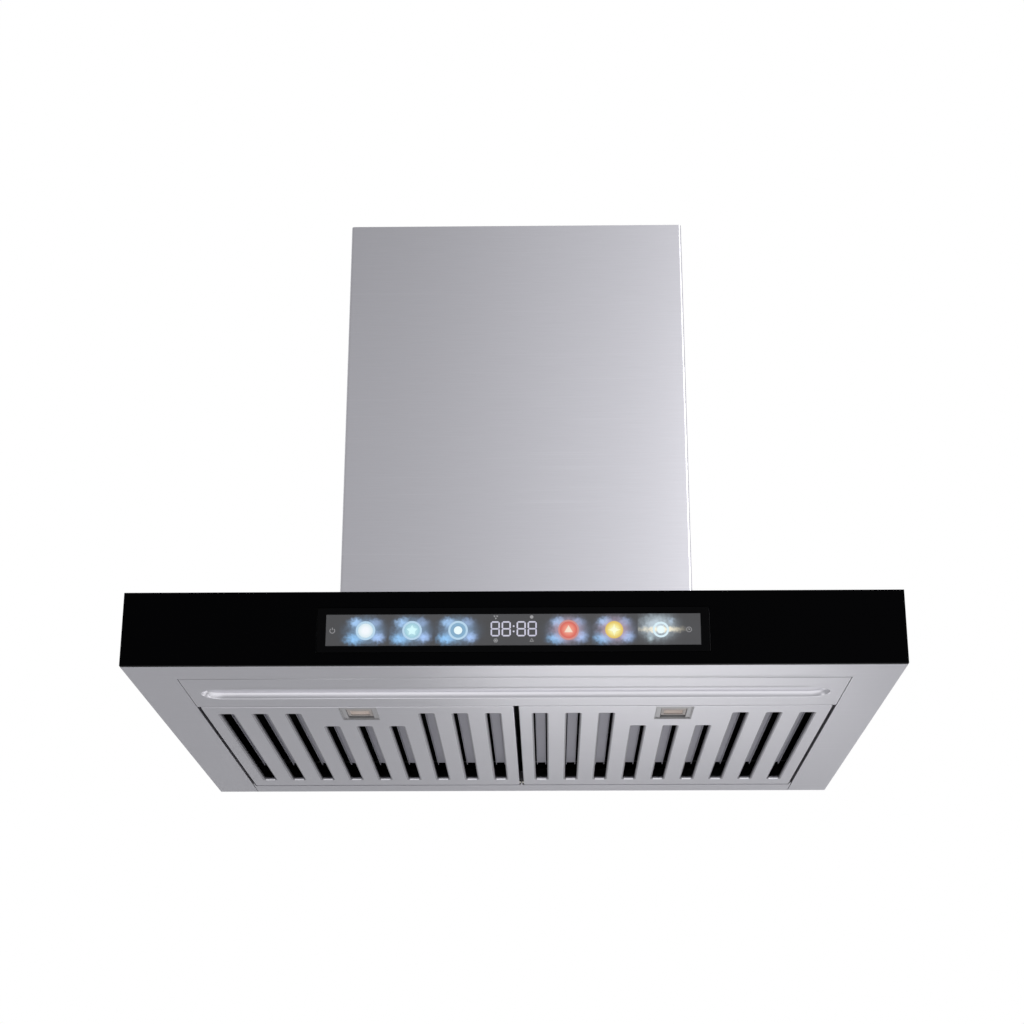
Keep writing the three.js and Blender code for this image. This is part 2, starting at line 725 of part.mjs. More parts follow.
// ---- Chimney covers ----
// A U of sheet with rounded corners, open towards +Y, before it is turned round for the rear half.
function coverOutline(width, depth, sheet) {
  const corner = (radius, side, inset) => {
    const centre = [side * (width / 2 - chimneyBendRadius - sheet), -depth / 2 + chimneyBendRadius + sheet];
    const steps = 3;
    return Array.from({ length: steps + 1 }, (_, i) => {
      const angle = (Math.PI / 2) * (i / steps);
      return [centre[0] + side * radius * Math.sin(angle), centre[1] - radius * Math.cos(angle) + inset];
    });
  };
  const outerRight = corner(chimneyBendRadius + sheet, 1, 0);
  const innerRight = corner(chimneyBendRadius, 1, 0);
  const outerLeft = corner(chimneyBendRadius + sheet, -1, 0).reverse();
  const innerLeft = corner(chimneyBendRadius, -1, 0).reverse();
  const seam = -clearance / 2;
  return [
    [-width / 2, seam], ...outerLeft, ...outerRight, [width / 2, seam],
    [width / 2 - sheet, seam], ...innerRight.reverse(), ...innerLeft.reverse(), [-width / 2 + sheet, seam],
  ];
}

function coverHalf(width, depth, lowZ, highZ) {
  return pulled(coverOutline(width, depth, chimneySheet), lowZ, highZ);
}

// Strips inside the rear half that reach behind the front half's side edges.
function lapStrips(width, lowZ, highZ) {
  const strips = [];
  for (const side of [-1, 1]) {
    const wallX = side * (width / 2 - chimneySheet);
    const outerX = wallX - side * clearance;
    const innerX = outerX - side * chimneySheet;
    const xs = [outerX, innerX].sort((a, b) => a - b);
    strips.push(block(xs[0], xs[1], -lapWidth / 2, lapWidth / 2, lowZ, highZ));
    const fixed = [wallX + (side * chimneySheet) / 2, innerX].sort((a, b) => a - b);
    strips.push(block(fixed[0], fixed[1], clearance / 2, lapWidth / 2, lowZ, highZ));
  }
  return strips;
}

function rearCover(width, depth, lowZ, highZ, lapLowZ) {
  const half = coverHalf(width, depth, lowZ, highZ).rotateZ(Math.PI);
  return joined([half, ...lapStrips(width, lapLowZ, highZ)]);
}

const coverTopZ = -chimneyTopGap;
const coverBottomZ = canopyTopZ + clearance;
const innerCoverBottomZ = canopyTopZ + innerCoverEndGap;

piece("chimney_lower_front", coverHalf(chimneyWidth, chimneyDepth, coverBottomZ, coverTopZ), brushedSteel());
piece("chimney_lower_rear",
  rearCover(chimneyWidth, chimneyDepth, coverBottomZ, coverTopZ, coverBottomZ + baseRingHeight + lapFootGap),
  brushedSteel());
piece("chimney_upper_front", coverHalf(innerChimneyWidth, innerChimneyDepth, innerCoverBottomZ, coverTopZ),
  brushedSteel());
piece("chimney_upper_rear", coverHalf(innerChimneyWidth, innerChimneyDepth, innerCoverBottomZ, coverTopZ)
  .rotateZ(Math.PI), brushedSteel());

// Three-sided bars that take the four upright corners off a frame inside a bent cover.
function cornerCuts(x, y, size, lowZ, highZ) {
  const cuts = [];
  for (const sx of [-1, 1]) {
    for (const sy of [-1, 1]) {
      const cx = sx * x;
      const cy = sy * y;
      const points = [[cx + sx, cy + sy], [cx - sx * size, cy + sy], [cx + sx, cy - sy * size]];
      const ordered = sx * sy > 0 ? points : [points[0], points[2], points[1]];
      cuts.push(pulled(ordered, lowZ, highZ));
    }
  }
  return cuts;
}

// An angle ring on the canopy that the lower cover is screwed to.
function chimneyBaseRing() {
  const x = chimneyWidth / 2 - chimneySheet - clearance;
  const y = chimneyDepth / 2 - chimneySheet - clearance;
  const lowZ = canopyTopZ + clearance;
  const outer = block(-x, x, -y, y, lowZ, lowZ + baseRingHeight);
  const step = baseRingSheet;
  const well = block(-x + step, x - step, -y + step, y - step, lowZ + baseRingSheet, lowZ + REACH);
  const flange = step + baseRingFlange;
  const middle = block(-x + flange, x - flange, -y + flange, y - flange, lowZ - REACH, lowZ + REACH);
  const corners = cornerCuts(x, y, chimneyBendRadius, lowZ - 1, lowZ + baseRingHeight + 1);
  return cut(solid(outer), [well, middle, ...corners]);
}

piece("chimney_base_ring", chimneyBaseRing(), galvanisedSteel());

// ---- Ceiling bracket and telescopic legs ----
function ceilingBracket() {
  const depth = bracketThickness + bracketLipHeight;
  const outer = block(-bracketHalfX, bracketHalfX, -bracketHalfY, bracketHalfY, -depth, 0);
  const lip = bracketLipThickness;
  const under = block(-bracketHalfX + lip, bracketHalfX - lip, -bracketHalfY + lip, bracketHalfY - lip,
    -depth - 1, -bracketThickness);
  const ring = bracketRingWidth;
  const middle = block(-bracketHalfX + ring, bracketHalfX - ring, -bracketHalfY + ring, bracketHalfY - ring,
    -REACH, REACH);
  const holes = [];
  for (const sx of [-1, 1]) {
    const hole = turnedZ(rodProfile(bracketHoleRadius, -depth - 1, 1), 16);
    holes.push(hole.translate(sx * (bracketHalfX - ring / 2), 0, 0));
  }
  for (const sy of [-1, 1]) {
    const hole = turnedZ(rodProfile(bracketHoleRadius, -depth - 1, 1), 16);
    holes.push(hole.translate(0, sy * (bracketHalfY - ring / 2), 0));
  }
  const corners = cornerCuts(bracketHalfX, bracketHalfY, chimneyBendRadius, -depth - 1, 1);
  return cut(solid(outer), [under, middle, ...holes, ...corners]);
}

piece("ceiling_bracket", ceilingBracket(), galvanisedSteel());

const upperLegTopZ = -bracketThickness - clearance;
const upperLegBottomZ = canopyTopZ + upperLegEndGap;
const lowerLegBottomZ = canopyTopZ + clearance;
const lowerLegTopZ = upperLegTopZ - lowerLegEndGap;
const boltZ = lowerLegTopZ - boltDrop;

// An angle whose two outer faces are at (x, y) in the corner sx, sy; the foot is a square plate at footZ.
function angleLeg(sx, sy, x, y, lowZ, highZ, footZ) {
  const span = (sign, from, to) => [sign * from, sign * to].sort((a, b) => a - b);
  const armX = span(sx, x - legWidth, x);
  const thinY = span(sy, y - legThickness, y);
  const armY = span(sy, y - legWidth, y);
  const thinX = span(sx, x - legThickness, x);
  return joined([
    block(armX[0], armX[1], thinY[0], thinY[1], lowZ, highZ),
    block(thinX[0], thinX[1], armY[0], armY[1], lowZ, highZ),
    block(armX[0], armX[1], armY[0], armY[1], footZ, footZ + legThickness),
  ]);
}

function heightBolt(sx) {
  const headX = lowerLegX - legThickness - clearance;
  const nutX = upperLegX + clearance;
  const nutEnd = nutX + boltNutHeight;
  const headEnd = headX - boltHeadHeight;
  const profile = [[0, headEnd], [boltHeadRadius, headEnd], [boltHeadRadius, headX], [boltRadius, headX],
    [boltRadius, nutX], [boltHeadRadius, nutX], [boltHeadRadius, nutEnd], [0, nutEnd]];
  const bolt = turnedX(profile, 12);
  return sx > 0 ? bolt : bolt.rotateZ(Math.PI);
}

for (const [sy, rowName] of [[-1, "front"], [1, "rear"]]) {
  for (const [sx, sideName] of [[-1, "left"], [1, "right"]]) {
    const place = `${rowName}_${sideName}`;
    const boltY = sy * (upperLegY - legWidth / 2 - legNestGap);
    const slotHalf = boltRadius + boltSlotGap;
    const slotReach = boltRadius + boltSlotEndMargin;
    const xs = [sx * (upperLegX - legThickness - 1), sx * (upperLegX + 1)].sort((a, b) => a - b);
    const slot = block(xs[0], xs[1], boltY - slotHalf, boltY + slotHalf,
      boltZ - heightTravel - slotReach, boltZ + slotReach);
    const upper = angleLeg(sx, sy, upperLegX, upperLegY, upperLegBottomZ, upperLegTopZ,
      upperLegTopZ - legThickness);
    piece(`upper_leg_${place}`, cut(upper, [slot]), galvanisedSteel());
    const lower = angleLeg(sx, sy, lowerLegX, lowerLegY, lowerLegBottomZ, lowerLegTopZ, lowerLegBottomZ);
    const hx = sx > 0 ? [0, REACH] : [-REACH, 0];
    const hole = turnedX(rodProfile(boltRadius + clearance, hx[0], hx[1]), 12).translate(0, boltY, boltZ);
    piece(`lower_leg_${place}`, cut(lower, [hole]), galvanisedSteel());
    piece(`height_bolt_${place}`, heightBolt(sx).translate(0, boltY, boltZ), zincPlate());
  }
}

// ---- Blower ----
const boxBottomZ = canopyTopZ + clearance;
const boxTopZ = boxBottomZ + blowerBoxHeight;
const scrollStartRadius = wheelRadius + scrollTipGap;
const scrollEndRadius = scrollStartRadius + scrollGrowth;
const scrollTipAngle = Math.acos((scrollEndRadius - scrollOutletWidth) / scrollStartRadius);
// The spiral's radius at an angle past its tip.
const scrollRadius = (angle) =>
  scrollStartRadius + (scrollGrowth * (angle - scrollTipAngle)) / (2 * Math.PI - scrollTipAngle);
const wheelY = -blowerBoxHalfY + blowerBoxSheet + scrollFrontGap + scrollWall + scrollRadius(Math.PI);
const wheelZ = boxBottomZ + blowerBoxSheet + scrollFloorGap + scrollWall + scrollRadius(1.5 * Math.PI);
const outletFarY = wheelY + scrollEndRadius;
const outletNearY = outletFarY - scrollOutletWidth;

function blowerBox() {
  const x = blowerBoxHalfX;
  const y = blowerBoxHalfY;
  const outer = block(-x, x, -y, y, boxBottomZ, boxTopZ);
  const s = blowerBoxSheet;
  const inside = block(-x + s, x - s, -y + s, y - s, boxBottomZ + s, boxTopZ - s);
  const f = s + blowerBoxFlange;
  const mouth = block(-x + f, x - f, -y + f, y - f, boxBottomZ - 1, boxBottomZ + s + 1);
  const outletX = scrollWidth / 2 - scrollWall;
  const outlet = turnedZ(rodProfile(collarRadius - collarWall - 1, boxTopZ - s - 1, boxTopZ + 1), 32);
  const outletSlab = block(-outletX, outletX, outletNearY, outletFarY, boxTopZ - s - 2, boxTopZ + 2);
  const hole = solid(outlet).intersect(solid(outletSlab));
  return cut(solid(outer), [inside, mouth]).subtract(hole);
}

// The scroll's inner line in the plane across the wheel: a growing spiral with a straight outlet upwards.
function scrollOutline(offset) {
  const sweep = 2 * Math.PI - scrollTipAngle;
  const steps = 28;
  const points = [];
  for (let i = 0; i <= steps; i++) {
    const angle = scrollTipAngle + (sweep * i) / steps;
    const radius = scrollRadius(angle) + offset;
    points.push([wheelY + radius * Math.cos(angle), wheelZ + radius * Math.sin(angle)]);
  }
  const topZ = boxTopZ - blowerBoxSheet - clearance;
  points.push([outletFarY + offset, topZ]);
  points.push([outletNearY - offset, topZ]);
  points.push([outletNearY - offset, points[0][1] + 2 * offset]);
  return points;
}

// An outline in the YZ plane pulled from x0 to x1.
function pulledX(outline, x0, x1) {
  const shape = new THREE.Shape(outline.map(([y, z]) => new THREE.Vector2(y, z)));
  const geometry = new THREE.ExtrudeGeometry(shape, { depth: x1 - x0, bevelEnabled: false });
  return geometry.rotateY(Math.PI / 2).rotateX(Math.PI / 2).translate(x0, 0, 0);
}

function scrollHalf() {
  const half = scrollWidth / 2;
  const shell = pulledX(scrollOutline(scrollWall), clearance / 2, half);
  const inside = pulledX(scrollOutline(0), -1, half - scrollWall);
  const topZ = boxTopZ - blowerBoxSheet - clearance;
  const topCut = block(-REACH, half - scrollWall, outletNearY, outletFarY, topZ - 5, topZ + 5);
  const inlet = turnedX(rodProfile(inletRadius, half - scrollWall - 1, half + 1), 32)
    .translate(0, wheelY, wheelZ);
  const flange = block(clearance / 2, half + scrollFlange, outletNearY - scrollWall - scrollFlange,
    outletFarY + scrollWall + scrollFlange, topZ - scrollWall, topZ);
  return cut(joined([shell, flange]), [inside, topCut, inlet]);
}

function inletRing() {
  const half = scrollWidth / 2;
  const seat = half + clearance;
  const outer = inletRadius - clearance;
  const inner = outer - inletRingWall;
  const rim = inletRadius + inletFlangeWidth;
  const profile = [[inner, half - inletThroatDepth], [outer, half - inletThroatDepth], [outer, seat],
    [rim, seat], [rim, seat + inletRingWall], [outer, seat + inletRingWall],
    [inner, seat - inletRingWall], [inner, half - inletThroatDepth]];
  return turnedX(profile, 32).translate(0, wheelY, wheelZ);
}

piece("blower_box", blowerBox(), galvanisedSteel());
const scrollRight = scrollHalf();
piece("scroll_housing_right", scrollRight, blackPlastic());
piece("scroll_housing_left", mirrored(scrollRight), blackPlastic());
const ringRight = inletRing();
piece("inlet_ring_right", ringRight, greyPlastic());
piece("inlet_ring_left", mirrored(ringRight), greyPlastic());

function blowerWheel() {
  const half = wheelWidth / 2;
  const bladeInner = wheelRadius - wheelBladeDepth;
  const bladeHalf = wheelBladeDepth / 2 - bladeThickness / 2;
  const discHalf = wheelDiscThickness / 2;
  const parts = [turnedX(rodProfile(wheelRadius - 1, -discHalf, discHalf), 32)];
  const hubEnd = discHalf + hubStep;
  parts.push(turnedX(rodProfile(hubRadius, -hubLength, hubEnd), 24));
  for (const side of [-1, 1]) {
    const near = side * (half - wheelRimWidth);
    const far = side * half;
    parts.push(turnedX(tubeProfile(bladeInner, wheelRadius, Math.min(near, far), Math.max(near, far)), 32));
  }
  for (let i = 0; i < bladeCount; i++) {
    const blade = block(-half + 1, half - 1, -bladeThickness / 2, bladeThickness / 2,
      -bladeHalf, bladeHalf);
    blade.rotateX(bladeRake).translate(0, 0, wheelRadius - wheelBladeDepth / 2);
    parts.push(blade.rotateX((2 * Math.PI * i) / bladeCount));
  }
  const bore = turnedX(rodProfile(shaftRadius + runningGap, -REACH, REACH), 16);
  const wheel = cut(joined(parts), [bore]);
  return surface(wheel).translate(0, wheelY, wheelZ);
}

const motorFrontX = motorFrontGap + wheelDiscThickness / 2;
const motorRearX = motorFrontX + motorLength;
const spiderX = scrollWidth / 2 + 2 * clearance + inletRingWall;

function motor() {
  const bossEndX = spiderX - clearance;
  const endRadius = motorRadius - motorShoulder;
  const profile = [[0, motorFrontX], [endRadius, motorFrontX], [motorRadius, motorFrontX + motorShoulder],
    [motorRadius, motorRearX - motorShoulder], [endRadius, motorRearX], [motorBossRadius, motorRearX],
    [motorBossRadius, bossEndX], [0, bossEndX]];
  const boreEndX = motorFrontX + motorBoreDepth;
  const bore = turnedX(rodProfile(shaftRadius + runningGap, motorFrontX - 1, boreEndX), 16);
  return surface(cut(solid(turnedX(profile, 32)), [bore])).translate(0, wheelY, wheelZ);
}

function motorShaft() {
  const rearX = motorFrontX + motorBoreDepth - 1;
  return turnedX(rodProfile(shaftRadius, rearX - shaftLength, rearX), 16).translate(0, wheelY, wheelZ);
}

function motorSpider() {
  const x0 = spiderX;
  const x1 = spiderX + spiderThickness;
  const parts = [turnedX(rodProfile(spiderHubRadius, x0, x1), 32)];
  for (let i = 0; i < 3; i++) {
    const arm = block(x0, x1, -spiderArmWidth / 2, spiderArmWidth / 2, 0, inletRadius + inletFlangeWidth);
    parts.push(arm.rotateX((2 * Math.PI * i) / 3));
  }
  return surface(joined(parts)).translate(0, wheelY, wheelZ);
}

piece("blower_wheel", blowerWheel(), greyPlastic());
piece("motor", motor(), motorEnamel());
piece("motor_shaft", motorShaft(), zincPlate());
piece("motor_spider", motorSpider(), galvanisedSteel());

// ---- Outlet collar with its two back-draught flaps ----
const collarBottomZ = boxTopZ + clearance;
const flapZ = collarBottomZ + flapRise;

function ductCollar() {
  const inner = collarRadius - collarWall;
  const topZ = collarBottomZ + collarHeight;
  const flange = collarRadius + collarFlangeWidth;
  const flangeTopZ = collarBottomZ + collarWall;
  const profile = [[inner, collarBottomZ], [flange, collarBottomZ], [flange, flangeTopZ],
    [collarRadius, flangeTopZ], [collarRadius, topZ], [inner, topZ], [inner, collarBottomZ]];
  const bore = turnedX(rodProfile(damperPinRadius + 0.1, -REACH, REACH), 16).translate(0, 0, flapZ);
  return cut(solid(turnedZ(profile, 48)), [bore]);
}

function damperPin() {
  return turnedX(rodProfile(damperPinRadius, -collarRadius, collarRadius), 16).translate(0, 0, flapZ);
}

const frontKnuckleMiddle = rearKnuckleMiddle + flapKnuckleLength + flapKnuckleGap;

// One half-round flap on the +Y side of the pin, with its two knuckles at the given distance from the middle.
function damperFlap(knuckleMiddle) {
  const radius = collarRadius - collarWall - flapEdgeGap;
  const disc = turnedZ(rodProfile(radius, flapZ - flapThickness / 2, flapZ + flapThickness / 2), 48);
  const keep = block(-REACH, REACH, flapRootGap, REACH, flapZ - 5, flapZ + 5);
  const parts = [];
  for (const side of [-1, 1]) {
    const low = side * knuckleMiddle - flapKnuckleLength / 2;
    const high = low + flapKnuckleLength;
    parts.push(turnedX(rodProfile(flapKnuckleRadius, low, high), 16).translate(0, 0, flapZ));
    parts.push(block(low, high, 1, flapRootGap + 1, flapZ - flapThickness / 2, flapZ + flapThickness / 2));
  }
  const bore = turnedX(rodProfile(damperPinRadius + runningGap, -REACH, REACH), 16).translate(0, 0, flapZ);
  return cut(solid(disc).intersect(solid(keep)).add(joined(parts)), [bore]);
}

piece("duct_collar", ductCollar(), blackPlastic());
piece("damper_pin", damperPin(), zincPlate());
piece("damper_flap_rear", damperFlap(rearKnuckleMiddle), blackPlastic());
piece("damper_flap_front", surface(damperFlap(frontKnuckleMiddle)).rotateZ(Math.PI), blackPlastic());

// ---- Electrical pieces ----
const besideCollarX = collarRadius + collarFlangeWidth + boxTopSpacing;
const junctionX1 = -besideCollarX;
const junctionX0 = -(blowerBoxHalfX - junctionEndMargin);
const junctionTopZ = boxTopZ + clearance + junctionHeight;
const glandX = (junctionX0 + junctionX1) / 2;

function junctionBox() {
  const w = junctionWall;
  const y = junctionDepth / 2;
  const outer = block(junctionX0, junctionX1, -y, y, boxTopZ + clearance, junctionTopZ);
  const inside = block(junctionX0 + w, junctionX1 - w, -y + w, y - w,
    boxTopZ + clearance + w, junctionTopZ + 1);
  return cut(solid(outer), [inside]);
}

function junctionLid() {
  const y = junctionDepth / 2;
  const z = junctionTopZ + clearance;
  const plate = block(junctionX0, junctionX1, -y, y, z, z + junctionLidThickness);
  const hole = turnedZ(rodProfile(glandStubRadius + clearance, z - 1, z + junctionLidThickness + 1), 16);
  return cut(solid(plate), [hole.translate(glandX, 0, 0)]);
}

function cableGland() {
  const seatZ = junctionTopZ + clearance + junctionLidThickness + clearance;
  const profile = [[glandBoreRadius, seatZ - glandStubLength], [glandStubRadius, seatZ - glandStubLength],
    [glandStubRadius, seatZ], [glandRadius, seatZ], [glandRadius, seatZ + glandHeight / 2],
    [glandRadius - glandChamfer, seatZ + glandHeight], [glandBoreRadius, seatZ + glandHeight],
    [glandBoreRadius, seatZ - glandStubLength]];
  return turnedZ(profile, 24).translate(glandX, 0, 0);
}

function capacitor() {
  const x = (besideCollarX + blowerBoxHalfX) / 2;
  const z = boxTopZ + clearance + capacitorRadius;
  const can = turnedZ(rodProfile(capacitorRadius, -capacitorLength / 2, capacitorLength / 2), 24);
  return can.rotateX(Math.PI / 2).translate(x, 0, z);
}

function powerBox() {
  const x = powerBoxWidth / 2;
  const y0 = panelFrontY + powerBoxSetback;
  const y1 = y0 + powerBoxDepth;
  const topZ = canopyTopZ - canopySheet - clearance;
  const lowZ = topZ - powerBoxHeight;
  const w = powerBoxWall;
  const outer = block(-x, x, y0, y1, lowZ, topZ);
  const inside = block(-x + w, x - w, y0 + w, y1 - w, lowZ - 1, topZ - w);
  return cut(solid(outer), [inside]);
}

function powerBoxLid() {
  const x = powerBoxWidth / 2;
  const y0 = panelFrontY + powerBoxSetback;
  const z = canopyTopZ - canopySheet - 2 * clearance - powerBoxHeight;
  return block(-x, x, y0, y0 + powerBoxDepth, z - powerBoxWall, z);
}

piece("junction_box", junctionBox(), whitePlastic());
piece("junction_lid", junctionLid(), whitePlastic());
piece("cable_gland", cableGland(), blackPlastic());
piece("motor_capacitor", capacitor(), whitePlastic());
piece("power_box", powerBox(), blackPlastic());
piece("power_box_lid", powerBoxLid(), blackPlastic());

export default root;
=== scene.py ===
import math

import bmesh
import bpy
from mathutils import Matrix, Vector
from mathutils.geometry import tessellate_polygon


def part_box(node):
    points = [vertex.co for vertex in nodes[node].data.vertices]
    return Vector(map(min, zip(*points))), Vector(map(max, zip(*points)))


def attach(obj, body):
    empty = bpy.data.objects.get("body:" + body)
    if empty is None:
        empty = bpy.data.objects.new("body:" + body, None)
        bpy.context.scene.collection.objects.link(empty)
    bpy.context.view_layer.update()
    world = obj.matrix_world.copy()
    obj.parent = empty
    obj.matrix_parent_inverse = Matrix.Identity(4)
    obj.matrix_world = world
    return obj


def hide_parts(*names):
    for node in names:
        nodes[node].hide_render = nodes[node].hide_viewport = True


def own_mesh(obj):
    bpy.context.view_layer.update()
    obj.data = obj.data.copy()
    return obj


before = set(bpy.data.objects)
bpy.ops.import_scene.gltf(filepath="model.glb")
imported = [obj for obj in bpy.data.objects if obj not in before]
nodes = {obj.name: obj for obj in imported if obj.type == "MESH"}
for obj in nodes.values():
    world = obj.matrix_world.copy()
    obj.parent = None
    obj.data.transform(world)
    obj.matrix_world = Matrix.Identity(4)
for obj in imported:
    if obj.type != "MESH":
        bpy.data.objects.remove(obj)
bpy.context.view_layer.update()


# ---- Ceiling bracket and telescopic legs ----
# A folded ring of galvanised sheet is screwed to the ceiling, with four slotted angle legs spot-welded
# under it. Four shorter legs stand on the canopy and slide inside them, and a zinc-plated bolt and nut
# through each slot locks the height.

class Value:
    """One channel of a finish. Arithmetic on it adds Math nodes."""

    def __init__(self, net, socket):
        self.net = net
        self.socket = socket

    def __add__(self, other):
        return self.net.math("ADD", self, other)

    def __radd__(self, other):
        return self.net.math("ADD", other, self)

    def __sub__(self, other):
        return self.net.math("SUBTRACT", self, other)

    def __rsub__(self, other):
        return self.net.math("SUBTRACT", other, self)

    def __mul__(self, other):
        return self.net.math("MULTIPLY", self, other)

    def __rmul__(self, other):
        return self.net.math("MULTIPLY", other, self)

    def __truediv__(self, other):
        return self.net.math("DIVIDE", self, other)

    def __rtruediv__(self, other):
        return self.net.math("DIVIDE", other, self)

    def __abs__(self):
        return self.net.math("ABSOLUTE", self)

    def __gt__(self, other):
        return self.net.math("GREATER_THAN", self, other)

    def __lt__(self, other):
        return self.net.math("LESS_THAN", self, other)


class Net:
    """The node net of one finish, or of the studio's air."""

    def __init__(self, tree):
        self.tree = tree
        tree.nodes.clear()

    def add(self, kind, settings=None, inputs=None, output=0):
        """One node: its settings first, then the values or links of its sockets."""
        node = self.tree.nodes.new(kind)
        for name, setting in (settings or {}).items():
            setattr(node, name, setting)
        for key, value in (inputs or {}).items():
            if isinstance(value, Value):
                self.tree.links.new(value.socket, node.inputs[key])
            else:
                node.inputs[key].default_value = value
        if isinstance(output, tuple):
            return [Value(self, node.outputs[name]) for name in output]
        return Value(self, node.outputs[output])

    def math(self, operation, *terms):
        return self.add("ShaderNodeMath", {"operation": operation}, dict(enumerate(terms)))

    def place(self, source="Object"):
        return self.add("ShaderNodeTexCoord", output=source)

    def parts(self, vector):
        return self.add("ShaderNodeSeparateXYZ", {}, {0: vector}, (0, 1, 2))

    def point(self, x, y, z):
        return self.add("ShaderNodeCombineXYZ", {}, {0: x, 1: y, 2: z})

    def noise(self, point, scale, detail=2.0):
        inputs = {"Vector": point, "Scale": scale, "Detail": detail}
        return self.add("ShaderNodeTexNoise", {}, inputs)

    def step(self, value, low, high, start=0.0, end=1.0):
        """Start below low, end above high, and a smooth way between."""
        smooth = {"interpolation_type": "SMOOTHSTEP"}
        inputs = {"Value": value, "From Min": low, "From Max": high, "To Min": start, "To Max": end}
        return self.add("ShaderNodeMapRange", smooth, inputs, "Result")

    def blend(self, factor, first, second):
        """The first colour where factor is 0, the second where it is 1."""
        colours = {0: factor, 6: first, 7: second}
        return self.add("ShaderNodeMix", {"data_type": "RGBA"}, colours, 2)

    def bump(self, height, strength, distance, under=None):
        """A relief that turns the normal; under is the normal it lies on, where it has one."""
        inputs = {"Height": height, "Strength": strength, "Distance": distance}
        if under:
            inputs["Normal"] = under
        return self.add("ShaderNodeBump", {}, inputs)


def finish_net(name):
    material = bpy.data.materials.new(name)
    material.use_nodes = True
    return material, Net(material.node_tree)


def surfaced(material, net, inputs):
    shader = net.add("ShaderNodeBsdfPrincipled", {}, inputs)
    net.add("ShaderNodeOutputMaterial", {}, {"Surface": shader}, output=())
    return material


def shade(red, green, blue):
    """A colour as a swatch shows it, 0 to 255, in the light-linear form a finish takes."""
    swatch = (red / 255, green / 255, blue / 255)
    linear = [c / 12.92 if c <= 0.04045 else ((c + 0.055) / 1.055) ** 2.4 for c in swatch]
    return (*linear, 1.0)


def toned(colour, factor, lift=0.0):
    """A colour made darker or lighter by a factor, up to white."""
    return [min(1.0, c * factor + lift) for c in colour[:3]] + [1.0]


def edge_highlight(net, radius):
    """1 on convex edges, where a lighter colour is painted on as a highlight, 0 on the flats."""
    rounded = net.add("ShaderNodeBevel", {"samples": 4}, {"Radius": radius})
    true = net.add("ShaderNodeNewGeometry", output="Normal")
    dot = {"operation": "DOT_PRODUCT"}
    match = net.add("ShaderNodeVectorMath", dot, {0: rounded, 1: true}, "Value")
    return net.step(1 - match, 0.02, 0.25)


def galvanised_finish():
    """Zinc-dipped sheet: flat grey spangles, each at its own tone."""
    material, net = finish_net("galvanised_sheet")
    place = net.place()
    spangle = net.add("ShaderNodeTexVoronoi", {}, {"Vector": place, "Scale": 55.0}, "Color")
    grey, _, _ = net.parts(spangle)
    cloud = net.noise(place, 9.0)
    edge_sheen = edge_highlight(net, 0.0008)
    tone = 0.35 * grey + 0.45 * cloud
    colour = net.blend(tone, shade(132, 138, 144), shade(196, 201, 206))
    # Convex edges are painted lighter: a painted highlight.
    colour = net.blend(edge_sheen * 0.6, colour, shade(222, 224, 226))
    fine = net.noise(place, 700.0)
    normal = net.bump(0.6 * grey + 0.2 * fine, 0.12, 0.00025)
    return surfaced(material, net, {
        "Base Color": colour, "Metallic": 1.0, "Normal": normal,
        "Roughness": 0.34 + 0.2 * grey - 0.08 * edge_sheen,
    })


def zinc_finish():
    """Bright zinc plate with the faint yellow of its passivation."""
    material, net = finish_net("zinc_plate")
    place = net.place()
    cloud = net.noise(place, 120.0, 3.0)
    edge_sheen = edge_highlight(net, 0.0004)
    colour = net.blend(cloud, shade(176, 176, 164), shade(204, 200, 190))
    # Convex edges are painted lighter: a painted highlight.
    colour = net.blend(edge_sheen, colour, shade(232, 230, 226))
    normal = net.bump(net.noise(place, 2200.0), 0.08, 0.00005)
    return surfaced(material, net, {
        "Base Color": colour, "Metallic": 1.0, "Normal": normal,
        "Roughness": 0.22 + 0.2 * cloud,
    })


CRISP_FROM = math.radians(35)


def soft_corners():
    """Curved walls shade smoothly, and corners sharper than CRISP_FROM stay crisp."""
    group = bpy.data.node_groups.new("soft_corners", "GeometryNodeTree")
    for way in ("INPUT", "OUTPUT"):
        group.interface.new_socket("Geometry", in_out=way, socket_type="NodeSocketGeometry")
    start, end = group.nodes.new("NodeGroupInput"), group.nodes.new("NodeGroupOutput")
    bare = group.nodes.new("GeometryNodeRemoveAttribute")
    bare.inputs["Name"].default_value = "custom_normal"
    faces = group.nodes.new("GeometryNodeSetShadeSmooth")
    edges = group.nodes.new("GeometryNodeSetShadeSmooth")
    edges.domain = "EDGE"
    edges.inputs["Shade Smooth"].default_value = False
    angle = group.nodes.new("GeometryNodeInputMeshEdgeAngle")
    sharp = group.nodes.new("FunctionNodeCompare")
    sharp.inputs[1].default_value = CRISP_FROM
    chain = [start, bare, faces, edges, end]
    for first, second in zip(chain, chain[1:]):
        group.links.new(first.outputs[0], second.inputs[0])
    group.links.new(angle.outputs[0], sharp.inputs[0])
    group.links.new(sharp.outputs[0], edges.inputs["Selection"])
    return group


SOFT_CORNERS = soft_corners()
WELD_GAP = 1e-5
FLAT_WITHIN = math.radians(0.5)
CORNER_FROM = math.radians(40)


def dress(names, finish, edge, kept_small=False):
    """Gives CAD nodes their finish and rounds their corners by edge, less where walls are thin."""
    for name in names:
        node = nodes[name]
        for index in range(len(node.material_slots)):
            node.material_slots[index].material = finish
        weld = node.modifiers.new("weld", "WELD")
        weld.merge_threshold = WELD_GAP
        flats = node.modifiers.new("flats", "DECIMATE")
        flats.decimate_type = "DISSOLVE"
        flats.angle_limit = FLAT_WITHIN
        soft = node.modifiers.new("soft", "NODES")
        soft.node_group = SOFT_CORNERS
        corners = node.modifiers.new("corners", "BEVEL")
        corners.width = edge
        corners.segments = 2
        corners.limit_method = "ANGLE"
        corners.angle_limit = CORNER_FROM
        corners.use_clamp_overlap = kept_small
        corners.harden_normals = True


